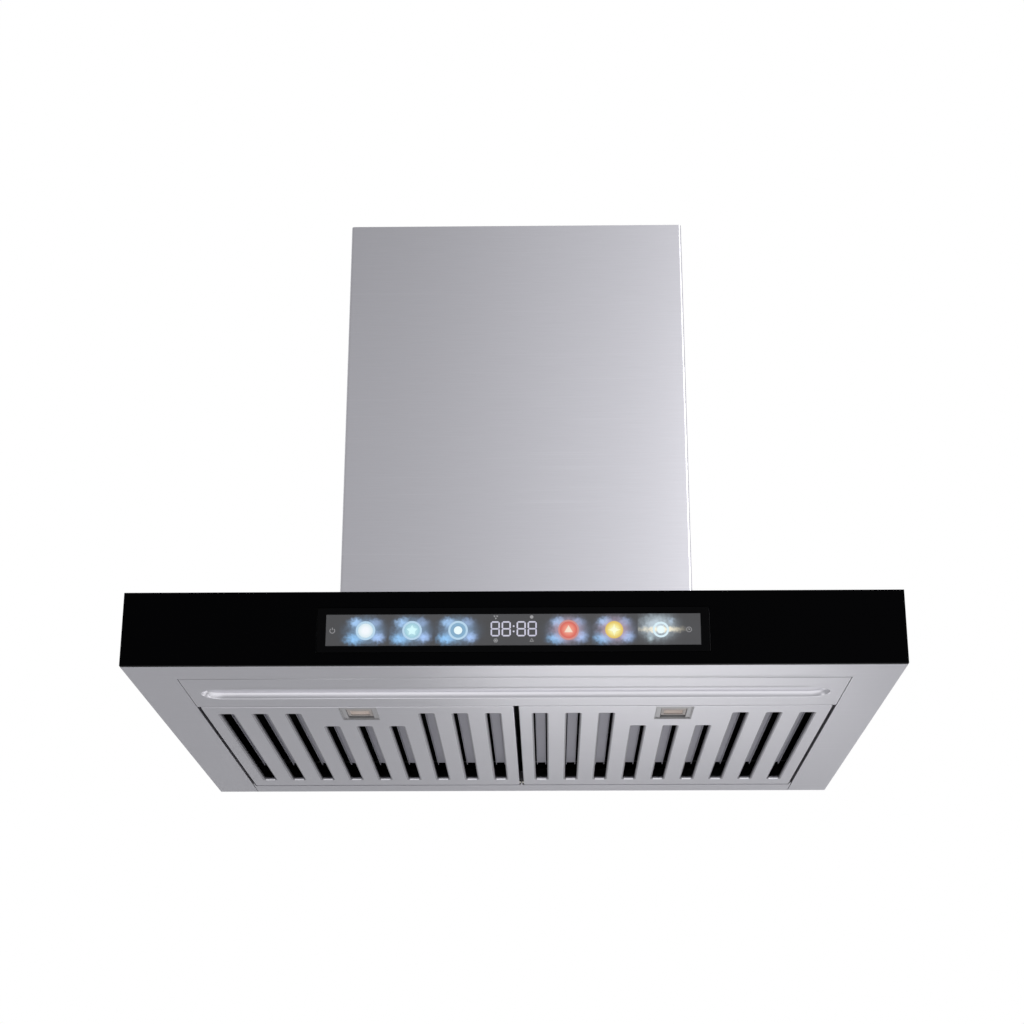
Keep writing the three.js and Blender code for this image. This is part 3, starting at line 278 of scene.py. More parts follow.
GALVANISED = galvanised_finish()
ZINC = zinc_finish()
LEG_PLACES = ("front_left", "front_right", "rear_left", "rear_right")
dress(["ceiling_bracket"], GALVANISED, 0.0004)
dress(["upper_leg_" + place for place in LEG_PLACES], GALVANISED, 0.0003)
dress(["lower_leg_" + place for place in LEG_PLACES], GALVANISED, 0.0003)
dress(["height_bolt_" + place for place in LEG_PLACES], ZINC, 0.0003)


# ---- Upper chimney covers ----
# Two folded halves of brushed stainless sheet hang from the ceiling bracket, nested inside the lower
# covers. They only show when the hood is let down.

UNDERSIDE_Z = -0.5  # the underside of the canopy lies below this


def brushed_finish(name, tone, grain_depth, drawn=None):
    """Stainless sheet brushed from left to right, on upright and level faces alike. Ahead of a pressed
    or folded edge the underside is drawn in a little: drawn gives the edge's (half length, Y, reach,
    depth)."""
    material, net = finish_net(name)
    x, y, z = net.parts(net.place())
    _, _, up = net.parts(net.place("Normal"))
    level = abs(up) > 0.5
    across = z + (y - z) * level
    along = x + y * (1 - level)
    coarse = net.noise(net.point(along * 22.0, across * 900.0, 0.0), 1.0)
    fine = net.noise(net.point(along * 60.0, across * 2400.0, 3.0), 1.0)
    stroke = net.step(net.noise(net.point(along * 5.0, across * 420.0, 7.0), 1.0, 1.0), 0.6, 0.78)
    cloud = net.noise(net.place(), 4.5, 3.0)
    edge_sheen = edge_highlight(net, 0.0006)
    grain = 0.55 * coarse + 0.45 * fine
    light = toned(tone, 1.08)
    colour = net.blend(0.8 * grain + 0.2 * cloud, toned(tone, 0.9), light)
    colour = net.blend(0.25 * stroke, colour, light)
    # Convex edges are painted lighter: a painted highlight.
    colour = net.blend(0.5 * edge_sheen, colour, shade(236, 236, 240))
    normal = net.bump(grain, 0.25, grain_depth)
    if drawn:
        half, edge, reach, depth = drawn
        fade_from, fade_to = half - 0.035, half - 0.008
        beside = net.step(abs(x), fade_from, fade_to, 1.0, 0.0) * level * (z < UNDERSIDE_Z)
        ramp = beside * net.step(y, edge - reach, edge, 0.0, -1.0)
        normal = net.bump(ramp, 1.0, depth, normal)
    return surfaced(material, net, {
        "Base Color": colour, "Metallic": 1.0, "Normal": normal,
        "Roughness": 0.27 + 0.09 * grain + 0.07 * cloud - 0.05 * stroke,
    })


STEEL_TONE = shade(212, 211, 216)
GRAIN_DEPTH = 0.00006
COVER_EDGE = 0.00025
STEEL = brushed_finish("brushed_steel", STEEL_TONE, GRAIN_DEPTH)
dress(["chimney_upper_front", "chimney_upper_rear"], STEEL, COVER_EDGE)


# ---- Canopy ----
# One sheet of brushed stainless is folded down round the front and sides, with a flat frame turned in
# underneath and a lip turned up round the opening. A top and a back plate close it, and a near-black
# liner inside paints the shade of the closed interior.

OPENING_HALF, OPENING_FRONT = 0.329, -0.249
DRAWN_REACH = 0.008
CANOPY_EDGE = 0.00035
SHELL_STEEL = brushed_finish("shell_steel", STEEL_TONE, GRAIN_DEPTH,
                             (OPENING_HALF, OPENING_FRONT, DRAWN_REACH, 0.00042))
dress(["canopy_shell"], SHELL_STEEL, CANOPY_EDGE)
dress(["canopy_top", "canopy_back"], STEEL, CANOPY_EDGE)


def shade_liner_finish():
    """A gritty near-black sheet that hardly reflects, put inside the canopy as painted shade."""
    material, net = finish_net("painted_shade_liner")
    grit = net.noise(net.place(), 900.0, 3.0)
    return surfaced(material, net, {
        "Base Color": net.blend(grit, shade(8, 8, 8), shade(16, 16, 16)),
        "Roughness": net.step(grit, 0.3, 0.7, 0.75, 0.9),
        "Normal": net.bump(grit, 0.4, 0.0002), "Specular IOR Level": 0.2,
    })


def cap(mesh, loops):
    """The flat face inside an outline, less its holes."""
    every = [vert for loop in loops for vert in loop]
    for corners in tessellate_polygon([[vert.co for vert in loop] for loop in loops]):
        mesh.faces.new([every[i] for i in corners])


def bridge(mesh, first, second):
    """The wall between two loops of equal count."""
    for i in range(len(first)):
        j = (i + 1) % len(first)
        mesh.faces.new((first[i], first[j], second[j], second[i]))


def prism(mesh, loops, place, low, high):
    """A closed plate: outline and holes in its own plane, place() puts (u, v, depth) in the hood."""
    rings = []
    for depth in (low, high):
        rings.append([[mesh.verts.new(place(u, v, depth)) for u, v in loop] for loop in loops])
    for flat in rings:
        cap(mesh, flat)
    for first, second in zip(*rings):
        bridge(mesh, first, second)


def piece_of(mesh, name, finish, body, replaced=(), origin=(0, 0, 0)):
    """Turns a worked mesh into a piece that rides on a body."""
    bmesh.ops.recalc_face_normals(mesh, faces=mesh.faces)
    for face in mesh.faces:
        face.smooth = True
    bmesh.ops.translate(mesh, verts=mesh.verts, vec=-Vector(origin))
    data = bpy.data.meshes.new(name)
    mesh.to_mesh(data)
    mesh.free()
    data.set_sharp_from_angle(angle=CRISP_FROM)
    data.materials.append(finish)
    piece = bpy.data.objects.new(name, data)
    piece.location = origin
    bpy.context.scene.collection.objects.link(piece)
    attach(piece, body)
    if replaced:
        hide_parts(*replaced)
    return piece


def rectangle(x0, x1, y0, y1):
    return [(x0, y0), (x1, y0), (x1, y1), (x0, y1)]


def canopy_shade_liner():
    """Four plates of liner: one under the top plate, cut out for the air way and the power box, and
    three walls."""
    shell_low, shell_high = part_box("canopy_shell")
    box_low, box_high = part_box("power_box")
    rail_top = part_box("rear_rail")[1].z
    thick, gap, wall, round_box = 0.0006, 0.0001, 0.001, 0.001
    x = shell_high.x - wall - gap
    front, back = shell_low.y + wall + gap, shell_high.y - gap
    top = shell_high.z - gap
    air_x, air_y = 0.130, 0.109
    mesh = bmesh.new()
    air_way = rectangle(-air_x, air_x, -air_y, air_y)
    box_hole = rectangle(box_low.x - round_box, box_high.x + round_box,
                         box_low.y - round_box, box_high.y + round_box)
    prism(mesh, [rectangle(-x, x, front, back), air_way, box_hole],
          lambda u, v, depth: (u, v, depth), top - thick, top)
    low, high = shell_low.z + wall + gap, top - thick - gap
    side_wall = rectangle(front, back - thick - gap, low, high)
    for side in (-1, 1):
        prism(mesh, [side_wall], lambda u, v, depth: (side * depth, u, v), x - thick, x)
    prism(mesh, [rectangle(-x, x, rail_top, high)],
          lambda u, v, depth: (u, depth, v), back - thick, back)
    # The liner is a near-black sheet put inside the canopy as painted shade.
    piece_of(mesh, "canopy_shade_liner", shade_liner_finish(), "hood")


canopy_shade_liner()


# ---- Blower ----
# A galvanised box holds two moulded scroll halves with a double-inlet wheel between them. The enamelled
# motor sits inside the wheel on a three-armed spider, and the inlet rings close the scroll's mouths.

def moulded_finish(name, low, high, roughness, flake=0.0, gloss=0.5):
    """Moulded plastic or stoved enamel: a faint orange peel, with convex edges painted a little lighter
    as a highlight.
    """
    material, net = finish_net(name)
    place = net.place()
    cloud = net.noise(place, 14.0, 3.0)
    edge_sheen = edge_highlight(net, 0.0007)
    colour = net.blend(cloud, low, high)
    # Convex edges are painted lighter: a painted highlight.
    colour = net.blend(0.35 * edge_sheen, colour, toned(high, 1.8, 0.02))
    normal = net.bump(net.noise(place, 1500.0), 0.1, 0.0001)
    return surfaced(material, net, {
        "Base Color": colour, "Normal": normal, "Roughness": roughness - 0.06 + 0.12 * cloud,
        "Metallic": flake, "Specular IOR Level": gloss,
    })


BLACK_PLASTIC = moulded_finish("black_plastic", shade(17, 17, 18), shade(27, 27, 29), 0.48)
GREY_PLASTIC = moulded_finish("grey_plastic", shade(128, 131, 134), shade(146, 149, 152), 0.55)
WHITE_PLASTIC = moulded_finish("white_plastic", shade(222, 220, 213), shade(236, 235, 230), 0.5)
ENAMEL = moulded_finish("motor_enamel", shade(50, 53, 56), shade(66, 70, 74), 0.45, 0.5)
dress(["blower_box", "motor_spider"], GALVANISED, 0.0004)
dress(["scroll_housing_left", "scroll_housing_right"], BLACK_PLASTIC, 0.0005)
dress(["inlet_ring_left", "inlet_ring_right", "blower_wheel"], GREY_PLASTIC, 0.0003)
dress(["motor"], ENAMEL, 0.0008)
dress(["motor_shaft"], ZINC, 0.0003)


# ---- Duct collar and back-draught flaps ----
# A moulded collar takes the duct on top of the blower box. Two half-round flaps hang on one steel pin
# across it and fall shut when the blower stops.

dress(["duct_collar", "damper_flap_front", "damper_flap_rear"], BLACK_PLASTIC, 0.0002)
dress(["damper_pin"], ZINC, 0.0002)


# ---- Electrical boxes ----
# The white junction box on the blower box takes the mains cable through a nylon gland; the motor's
# capacitor lies on the other side. The black power box under the canopy's top plate feeds the display.

dress(["junction_box", "junction_lid", "motor_capacitor"], WHITE_PLASTIC, 0.0006)
dress(["cable_gland", "power_box", "power_box_lid"], BLACK_PLASTIC, 0.0005)


# ---- Glass front ----
# A 5 mm pane of toughened glass, printed black behind, is bonded over the whole front, with ground and
# polished edges and a window cut for the display.

def glass_finish():
    """Black glass, wiped almost clean."""
    material, net = finish_net("black_glass")
    smear = net.noise(net.place(), 16.0, 3.0)
    return surfaced(material, net, {
        "Base Color": shade(2, 2, 3), "Specular IOR Level": 0.015,
        "Roughness": net.step(smear, 0.35, 0.75, 0.03, 0.09),
    })


dress(["front_glass"], glass_finish(), 0.0005)


# ---- Display ----
# A black moulded bezel frames a smoked window. Behind it, six touch keys and a clock are lit by
# coloured lamps, which throw soft lobes of light on the window round each key.

BEZEL = moulded_finish("bezel_plastic", shade(7, 7, 8), shade(10, 10, 11), 0.42, gloss=0.02)
BOARD = moulded_finish("circuit_board", shade(22, 66, 40), shade(34, 82, 52), 0.5)
dress(["display_bezel"], BEZEL, 0.0003)
dress(["control_board"], BOARD, 0.0001)

window_low, window_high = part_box("display_window")
FACE_Y = window_low.y
WINDOW_Z = (window_low.z + window_high.z) / 2
KEY_Z = WINDOW_Z - 0.0005
DIGIT_Z = WINDOW_Z + 0.0008
KEY_X = (-0.141, -0.0965, -0.0525, 0.053, 0.0965, 0.141)
KEY_PITCH = 0.0441  # between the three keys on each side of the clock
FIRST_KEY = 0.0528  # from the clock to the nearest key
WARM_FROM = 0.030  # the red and the amber key lie beyond this
LAST_FROM = 0.119  # and the sixth key beyond this
DRIFT = 0.006  # how far the lobes' rims wander

# Each lobe: across and up from its key, half its width and height, gain, colour.
COOL_LOBES = (
    (0.0, -0.0008, 0.0165, 0.0100, 0.8, shade(96, 128, 162)),
    (-0.0092, 0.0078, 0.0060, 0.0042, 1.0, shade(156, 198, 244)),
    (0.0092, 0.0076, 0.0056, 0.0040, 0.9, shade(132, 158, 200)),
    (-0.0108, -0.0082, 0.0078, 0.0046, 1.0, shade(134, 194, 246)),
    (0.0118, -0.0066, 0.0056, 0.0046, 1.0, shade(160, 194, 246)),
    (0.0, 0.0, 0.0125, 0.0108, 0.6, shade(132, 170, 204)),
)
WARM_LOBES = (
    (-0.0004, 0.0, 0.0128, 0.0104, 0.7, shade(196, 124, 122)),
)
STREAK_LOBES = (
    (-0.003, 0.003, 0.0150, 0.0110, 0.9, shade(196, 214, 226)),
    (0.0, 0.0002, 0.0165, 0.0025, 1.0, shade(255, 243, 210)),
    (-0.010, -0.0085, 0.0024, 0.0037, 0.5, shade(200, 225, 235)),
    (0.010, 0.0085, 0.0026, 0.0032, 0.5, shade(190, 215, 240)),
)


def window_finish():
    """Smoked glass with the lamps' light lying on its back, patchy as it comes through the diffuser."""
    material, net = finish_net("smoked_window")
    x, _, z = net.parts(net.place())
    side = 2 * (x > 0.0) - 1
    count = net.math("ROUND", (abs(x) - FIRST_KEY) / KEY_PITCH)
    count = net.math("MINIMUM", net.math("MAXIMUM", count, 0.0), 2.0)
    patch = net.noise(net.place(), 260.0)
    u = x - side * (FIRST_KEY + KEY_PITCH * count) + DRIFT * (patch - 0.5)
    v = z - KEY_Z + DRIFT * (net.noise(net.place(), 330.0) - 0.5)
    patchy = net.step(patch, 0.3, 0.6, 0.75, 1.0)

    def lobe(du, dv, across, high, gain):
        """A patch of light with a level middle and a quick fall at its rim."""
        a = (u - du) / across
        b = (v - dv) / high
        away = a * a + b * b
        return gain * net.math("EXPONENT", 0.0 - away * (0.75 + 0.25 * away)) * patchy

    last = x > LAST_FROM
    other = 1 - last
    light = (0.0, 0.0, 0.0, 1.0)
    for keys, lobes in (
        (other, COOL_LOBES),
        ((x > WARM_FROM) * other, WARM_LOBES),
        (last, STREAK_LOBES),
    ):
        for *shape, colour in lobes:
            light = net.blend(keys * lobe(*shape), light, colour)
    haze = net.noise(net.place(), 30.0)
    return surfaced(material, net, {
        "Base Color": net.blend(haze, shade(88, 88, 89), shade(97, 97, 99)),
        "Roughness": net.step(haze, 0.3, 0.7, 0.12, 0.2), "Specular IOR Level": 0.12,
        "Emission Color": light, "Emission Strength": 1.0,
    })


dress(["display_window"], window_finish(), 0.00015)


def lit_finish(name, middle, rim, reach):
    """A lamp behind a cut-out: one colour at the middle that turns to another towards reach."""
    material, net = finish_net(name)
    x, _, z = net.parts(net.place())
    away = net.math("SQRT", x * x + z * z)
    colour = net.blend(net.step(away, 0.25 * reach, reach), middle, rim)
    return surfaced(material, net, {
        "Base Color": shade(20, 20, 22), "Roughness": 0.3, "Specular IOR Level": 0.1,
        "Emission Color": colour, "Emission Strength": 1.0,
    })


def circle(radius, steps=40, middle=(0.0, 0.0), turn=0.0):
    """A loop of points on a circle; three steps make a triangle."""
    angles = [turn + 2 * math.pi * i / steps for i in range(steps)]
    return [(middle[0] + radius * math.cos(a), middle[1] + radius * math.sin(a)) for a in angles]


def star_outline(points, outer, inner):
    loop = []
    for i in range(2 * points):
        radius = inner if i % 2 else outer
        angle = math.pi / 2 + math.pi * i / points
        loop.append((radius * math.cos(angle), radius * math.sin(angle)))
    return loop


SUNK, PROUD = -0.00002, 0.00006


def lit_piece(name, shapes, finish, x, z):
    """Cut-outs as thin raised shapes on the window; each shape is a list of loops."""
    mesh = bmesh.new()
    for loops in shapes:
        prism(mesh, loops, lambda u, v, depth: (x + u, FACE_Y - depth, z + v), SUNK, PROUD)
    return piece_of(mesh, name, finish, "hood", origin=(x, FACE_Y, z))


ICE = lit_finish("key_light_white", shade(243, 248, 253), shade(216, 234, 240), 0.0078)
SKY = lit_finish("key_light_cyan", shade(198, 226, 241), shade(182, 212, 234), 0.0098)
TEAL = lit_finish("key_light_teal", shade(188, 228, 236), shade(158, 202, 218), 0.0080)
MINT = lit_finish("key_light_mint", shade(214, 250, 253), shade(204, 242, 247), 0.0058)
DUSK = lit_finish("key_light_dusk", shade(128, 164, 192), shade(136, 176, 206), 0.0080)
SNOW = lit_finish("key_light_snow", shade(236, 251, 253), shade(216, 238, 247), 0.0078)
RED = lit_finish("key_light_red", shade(240, 156, 136), shade(214, 104, 92), 0.0086)
ROSE = lit_finish("key_light_rose", shade(224, 158, 146), shade(206, 140, 134), 0.0102)
PALE = lit_finish("key_light_pale", shade(244, 226, 206), shade(242, 204, 182), 0.0050)
AMBER = lit_finish("key_light_amber", shade(250, 245, 168), shade(226, 194, 100), 0.0088)
GOLD = lit_finish("key_light_gold", shade(251, 252, 216), shade(250, 246, 172), 0.0060)
DIM = lit_finish("icon_light", shade(158, 158, 160), shade(146, 146, 149), 0.0030)
CLOCK = lit_finish("clock_light", shade(208, 207, 224), shade(202, 201, 220), 0.0200)

UPRIGHT = math.pi / 2
for part, key, finish, loops in (
    ("ring", 1, SKY, [circle(0.0094), circle(0.0072)]),
    ("disc", 1, ICE, [circle(0.0071)]),
    ("ring", 2, SKY, [circle(0.0094), circle(0.0074)]),
    ("disc", 2, TEAL, [circle(0.0073), star_outline(5, 0.0058, 0.0032)]),
    ("star", 2, MINT, [star_outline(5, 0.0057, 0.0031)]),
    ("ring", 3, SKY, [circle(0.0094), circle(0.0074)]),
    ("gap", 3, DUSK, [circle(0.0073), circle(0.0041)]),
    ("dot", 3, SNOW, [circle(0.0040)]),
    ("ring", 4, ROSE, [circle(0.0100), circle(0.0084)]),
    ("disc", 4, RED, [circle(0.0083), circle(0.0049, 3, turn=UPRIGHT)]),
    ("triangle", 4, PALE, [circle(0.0048, 3, turn=UPRIGHT)]),
    ("disc", 5, AMBER, [circle(0.0086), star_outline(4, 0.0062, 0.0026)]),
    ("flare", 5, GOLD, [star_outline(4, 0.0061, 0.0025)]),
    ("ring", 6, SNOW, [circle(0.0078), circle(0.0058)]),
    ("dot", 6, SNOW, [circle(0.0038)]),
):
    lit_piece("key_%d_%s" % (key, part), [loops], finish, KEY_X[key - 1], KEY_Z)


def segment(u, v, length, upright, thick=0.00072):
    """One bar of a clock digit, with pointed ends."""
    half = length / 2
    bar = [(-half, 0.0), (-half + thick, -thick), (half - thick, -thick), (half, 0.0),
           (half - thick, thick), (-half + thick, thick)]
    return [[(u - b, v + a) if upright else (u + a, v + b) for a, b in bar]]


def digit(u):
    """The seven bars of a figure eight."""
    wide, high, gap = 0.0070, 0.0068, 0.0002
    bars = [segment(u, level * high, wide, False) for level in (-1, 0, 1)]
    for side in (-1, 1):
        for level in (-1, 1):
            bars.append(segment(u + side * (wide / 2 + gap), level * high / 2, high - 2 * gap, True))
    return bars


DIGITS_U = (-0.0176, -0.0071, 0.0072, 0.0177)
clock = [bar for u in DIGITS_U for bar in digit(u)]
clock += [[circle(0.0009, 16, (0.0, level * 0.0026))] for level in (-1, 1)]
lit_piece("clock_digits", clock, CLOCK, 0.0006, DIGIT_Z)

# Four small marks stand round the clock, and one at each end of the window.
LEFT_MARK, RIGHT_MARK = -0.0165, 0.0178
UPPER_MARK, LOWER_MARK = DIGIT_Z + 0.0117, DIGIT_Z - 0.0115
blades = [[circle(0.0012, 3, (u, v), turn)] for u, v, turn in
          ((-0.0013, 0.0009, 0.4), (0.0013, 0.0009, 2.2), (0.0, -0.0013, 4.2))]
lit_piece("fan_icon", blades, DIM, LEFT_MARK, UPPER_MARK)
lit_piece("level_icon", [[circle(0.0022, 6), circle(0.0014, 6)], [circle(0.0008, 8)]], DIM,
          LEFT_MARK, LOWER_MARK)
lit_piece("timer_icon", [[circle(0.0017, 20)]], DIM, RIGHT_MARK, UPPER_MARK)
lit_piece("filter_icon", [[circle(0.0024, 3, turn=UPRIGHT), circle(0.0014, 3, turn=UPRIGHT)]], DIM,
          RIGHT_MARK, LOWER_MARK)


def arc(radius, first, last, steps=20):
    """Points from one angle to another, measured from the top."""
    angles = [first + (last - first) * i / steps for i in range(steps + 1)]
    return [(radius * math.sin(a), radius * math.cos(a)) for a in angles]


GAP = math.radians(40)
FULL = 2 * math.pi
broken_ring = arc(0.0027, GAP, FULL - GAP) + arc(0.0020, FULL - GAP, GAP)
stem = rectangle(-0.00035, 0.00035, 0.0008, 0.0032)
lit_piece("power_icon", [[broken_ring], [stem]], DIM, -0.1728, KEY_Z)
hand = [(-0.0003, -0.0003), (0.0011, -0.0003), (0.0011, 0.0003), (0.0003, 0.0003),
        (0.0003, 0.0016), (-0.0003, 0.0016)]
lit_piece("delay_icon", [[circle(0.0027, 28), circle(0.0021, 28)], [hand]], DIM, 0.1678, KEY_Z)


# ---- Front inner panel ----
# A strip of the same brushed sheet closes the front of the opening. A long groove with round ends is
# pressed up into it for stiffness; its front edge is folded up as a lip, and its rear edge as the
# keeper for the latches.


def loop_of(mesh, points, z):
    """The vertices of a level loop."""
    return [mesh.verts.new((x, y, z)) for x, y in points]


def fill(mesh, outer, holes=()):
    """The flat sheet between an outline and its holes."""
    rim = []
    for loop in (outer, *holes):
        for first, second in zip(loop, loop[1:] + loop[:1]):
            rim.append(mesh.edges.get((first, second)) or mesh.edges.new((first, second)))
    bmesh.ops.triangle_fill(mesh, use_beauty=True, edges=rim)


def pressed(mesh, loop_at, profile, z):
    """Sweeps a loop through (outward offset, rise) pairs and returns its first and last rings."""
    rings = [loop_of(mesh, loop_at(offset), z + rise) for offset, rise in profile]
    for first, second in zip(rings, rings[1:]):
        bridge(mesh, first, second)
    return rings[0], rings[-1]


def bend(radius, height, turn=1.0, steps=5):
    """The profile of a sheet bent up through a right angle, ending at that height."""
    profile = []
    for i in range(steps + 1):
        angle = (math.pi / 2) * i / steps
        profile.append((turn * (radius * math.sin(angle) - radius), radius - radius * math.cos(angle)))
    return profile + [(0.0, height)]


LEVEL_FROM = 0.9999


def sheet_piece(mesh, name, thickness, body, replaced, finishes):
    """A sheet seen from below: its underside is as drawn, and the metal lies behind it."""
    bmesh.ops.recalc_face_normals(mesh, faces=mesh.faces)
    mesh.normal_update()
    widest = max(mesh.faces, key=lambda face: face.calc_area())
    if widest.normal.z > 0:
        bmesh.ops.reverse_faces(mesh, faces=mesh.faces)
        mesh.normal_update()
    for face in mesh.faces:
        level = abs(face.normal.z) > LEVEL_FROM
        face.smooth = not level
    data = bpy.data.meshes.new(name)
    mesh.to_mesh(data)
    mesh.free()
    for finish in finishes:
        data.materials.append(finish)
    piece = bpy.data.objects.new(name, data)
    bpy.context.scene.collection.objects.link(piece)
    thick = piece.modifiers.new("thickness", "SOLIDIFY")
    thick.thickness = thickness
    thick.offset = -1.0
    thick.use_even_offset = True
    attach(piece, body)
    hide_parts(*replaced)
    return piece


panel_low, panel_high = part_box("front_inner_panel")
PANEL_SHEET = 0.001
GROOVE_HALF = panel_high.x - 0.0122
GROOVE_HALF_WIDTH = 0.020
GROOVE_Y = (panel_low.y + panel_high.y) / 2 + 0.0035
GROOVE_EDGE = 0.0012
GROOVE_STEEPEST = math.radians(58)
GROOVE_DEPTH = 0.0055
GROOVE_SLOPE = 0.0070
LIP = 0.012
KEEPER = panel_high.z - panel_low.z
FOLD = 0.0008
PANEL_STEEL = brushed_finish("panel_steel", STEEL_TONE, GRAIN_DEPTH,
                             (GROOVE_HALF, GROOVE_Y - GROOVE_HALF_WIDTH, DRAWN_REACH, 0.00050))


def groove_outline(offset, steps=20):
    """The groove's straight sides and round ends, moved outwards by offset."""
    radius = GROOVE_HALF_WIDTH + offset
    end = GROOVE_HALF - GROOVE_HALF_WIDTH
    ring = []
    for side, start in ((1, -math.pi / 2), (-1, math.pi / 2)):
        for i in range(steps + 1):
            angle = start + math.pi * i / steps
            ring.append((side * end + radius * math.cos(angle), GROOVE_Y + radius * math.sin(angle)))
    return ring


def groove_profile():
    """A tight bend into the groove's steepest slope, which then eases into its flat floor."""
    profile = []
    for i in range(6):
        angle = GROOVE_STEEPEST * i / 5
        profile.append((-GROOVE_EDGE * math.sin(angle), GROOVE_EDGE * (1 - math.cos(angle))))
    lead, start = -profile[-1][0], profile[-1][1]
    for i in range(1, 13):
        t = i / 12
        profile.append((-lead - (GROOVE_SLOPE - lead) * t,
                        start + (GROOVE_DEPTH - start) * t * (2 - t)))
    return profile


def front_panel():
    mesh = bmesh.new()
    edge, floor = pressed(mesh, groove_outline, groove_profile(), panel_low.z)
    fill(mesh, floor)
    front = [(panel_low.y - inset, panel_low.z + rise) for inset, rise in bend(FOLD, LIP)]
    rear = [(panel_high.y + inset, panel_low.z + rise) for inset, rise in bend(FOLD, KEEPER)]
    corners = []
    for wall in (front, rear):
        rows = [[mesh.verts.new((x, y, z)) for x in (panel_low.x, panel_high.x)] for y, z in wall]
        for (a, b), (c, d) in zip(rows, rows[1:]):
            mesh.faces.new((a, b, d, c))
        corners.append(rows[0])
    (front_left, front_right), (rear_left, rear_right) = corners
    fill(mesh, [front_left, front_right, rear_right, rear_left], [edge])
    sheet_piece(mesh, "front_panel", PANEL_SHEET, "hood", ["front_inner_panel"], [PANEL_STEEL])


front_panel()


# ---- Rear rail ----
# A folded angle of the same sheet closes the back of the opening. Three ears on it carry the filters'
# hinge rods.

dress(["rear_rail"], STEEL, 0.0003, True)


# ---- Baffle filters ----
# Each filter is a tray of brushed sheet with nine pressed slots, their edges turned up, and a row of
# folded baffle strips riveted to two bars behind them. It swings down on a zinc-plated rod at the back,
# in two rolled knuckles.

SLOT_WIDTH = 0.014
SLOT_PITCH = 0.0349
SLOT_FRONT = 0.029  # from the tray's front edge
SLOT_FRONT_AT_LATCH = 0.086
SLOT_REAR = 0.032  # from its rear edge
SLOT_CORNER = 0.0015
SLOT_FLANGE = 0.0045
SLOT_EDGE = 0.0018
TRAY_SHEET = 0.0008
TRAY_FOLD = 0.0010
TRAY_CORNER = 0.0025
LATCH_GAP = 0.0003  # round the latch's body
LATCH_LIP = 0.003  # its lip lies over the hole's edge at the sides and rear
LATCH_LIP_FRONT = 0.0005
LATCH_CORNER = 0.0004


def rounded_box(x0, x1, y0, y1, corner, offset, steps=5):
    """A rounded rectangle moved outwards by offset, anticlockwise from its far right corner."""
    ring = []
    radius = corner + offset
    for cx, cy, turn in ((x1 - corner, y1 - corner, 0), (x0 + corner, y1 - corner, 1),
                         (x0 + corner, y0 + corner, 2), (x1 - corner, y0 + corner, 3)):
        for i in range(steps + 1):
            angle = (math.pi / 2) * (turn + i / steps)
            ring.append((cx + radius * math.cos(angle), cy + radius * math.sin(angle)))
    return ring


# The slot walls are the same steel sheet, given this darker matt copy: matt roughness with a
# painted-shade tone.
SLOT_WALL_SHADE = moulded_finish("slot_wall_painted_shade", shade(140, 139, 144), shade(152, 151, 156), 0.5, 0.3)


def filter_tray(side):
    """The tray with its rim, slots and latch hole. The slots' turned edges get a darker matt copy of
    the steel as painted shade, but for the straight rear ends, which keep the plain steel and catch the
    light."""
    low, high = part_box("filter_face_" + side)
    latch_low, latch_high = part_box("latch_tray_" + side)
    middle = (low.x + high.x) / 2
    mesh = bmesh.new()

    def rim_at(offset):
        return rounded_box(low.x, high.x, low.y, high.y, TRAY_CORNER, offset)

    edge, _ = pressed(mesh, rim_at, bend(TRAY_FOLD, high.z - low.z), low.z)
    holes = []
    rear = high.y - SLOT_REAR
    for i in range(-4, 5):
        x = middle + i * SLOT_PITCH
        front = low.y + (SLOT_FRONT_AT_LATCH if abs(i) < 2 else SLOT_FRONT)

        def slot_at(offset):
            return rounded_box(x - SLOT_WIDTH / 2, x + SLOT_WIDTH / 2, front, rear, SLOT_CORNER, offset)

        before = len(mesh.faces)
        hole, _ = pressed(mesh, slot_at, bend(SLOT_EDGE, SLOT_FLANGE, -1.0, 4), low.z)
        holes.append(hole)
        mesh.faces.ensure_lookup_table()
        for face in mesh.faces[before:]:
            centre = face.calc_center_median()
            bright = abs(centre.x - x) < 0.001 and centre.y > rear - 0.0001
            face.material_index = 0 if bright else 1
    inwards = LATCH_LIP - LATCH_GAP
    latch_hole = rounded_box(latch_low.x + inwards, latch_high.x - inwards,
                             latch_low.y + LATCH_LIP_FRONT - LATCH_GAP, latch_high.y - inwards,
                             LATCH_CORNER, 0.0, 2)
    holes.append(loop_of(mesh, latch_hole, low.z))
    fill(mesh, edge, holes)
    sheet_piece(mesh, "filter_tray_" + side, TRAY_SHEET, "filter_" + side, ["filter_face_" + side],
                [STEEL, SLOT_WALL_SHADE])


def knuckles(side):
    """The two rolled knuckles on the rod, each with its foot on the tray."""
    low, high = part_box("filter_face_" + side)
    rod_low, rod_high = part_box("hinge_rod_" + side)
    y, z = (rod_low.y + rod_high.y) / 2, (rod_low.z + rod_high.z) / 2
    middle = (low.x + high.x) / 2
    outer, inner, half_length = 0.0031, 0.0019, 0.012
    from_middle, half_foot, sunk = 0.1, 0.0015, 0.0006
    foot = rectangle(-half_foot, half_foot, low.z + TRAY_SHEET, z - outer + sunk)
    mesh = bmesh.new()
    for way in (-1, 1):
        x = middle + way * from_middle
        prism(mesh, [circle(outer, 28), circle(inner, 28)],
              lambda u, v, depth: (depth, y + u, z + v), x - half_length, x + half_length)
        prism(mesh, [foot], lambda u, v, depth: (depth, y + u, v), x - half_length, x + half_length)
    piece_of(mesh, "filter_knuckles_" + side, STEEL, "filter_" + side)


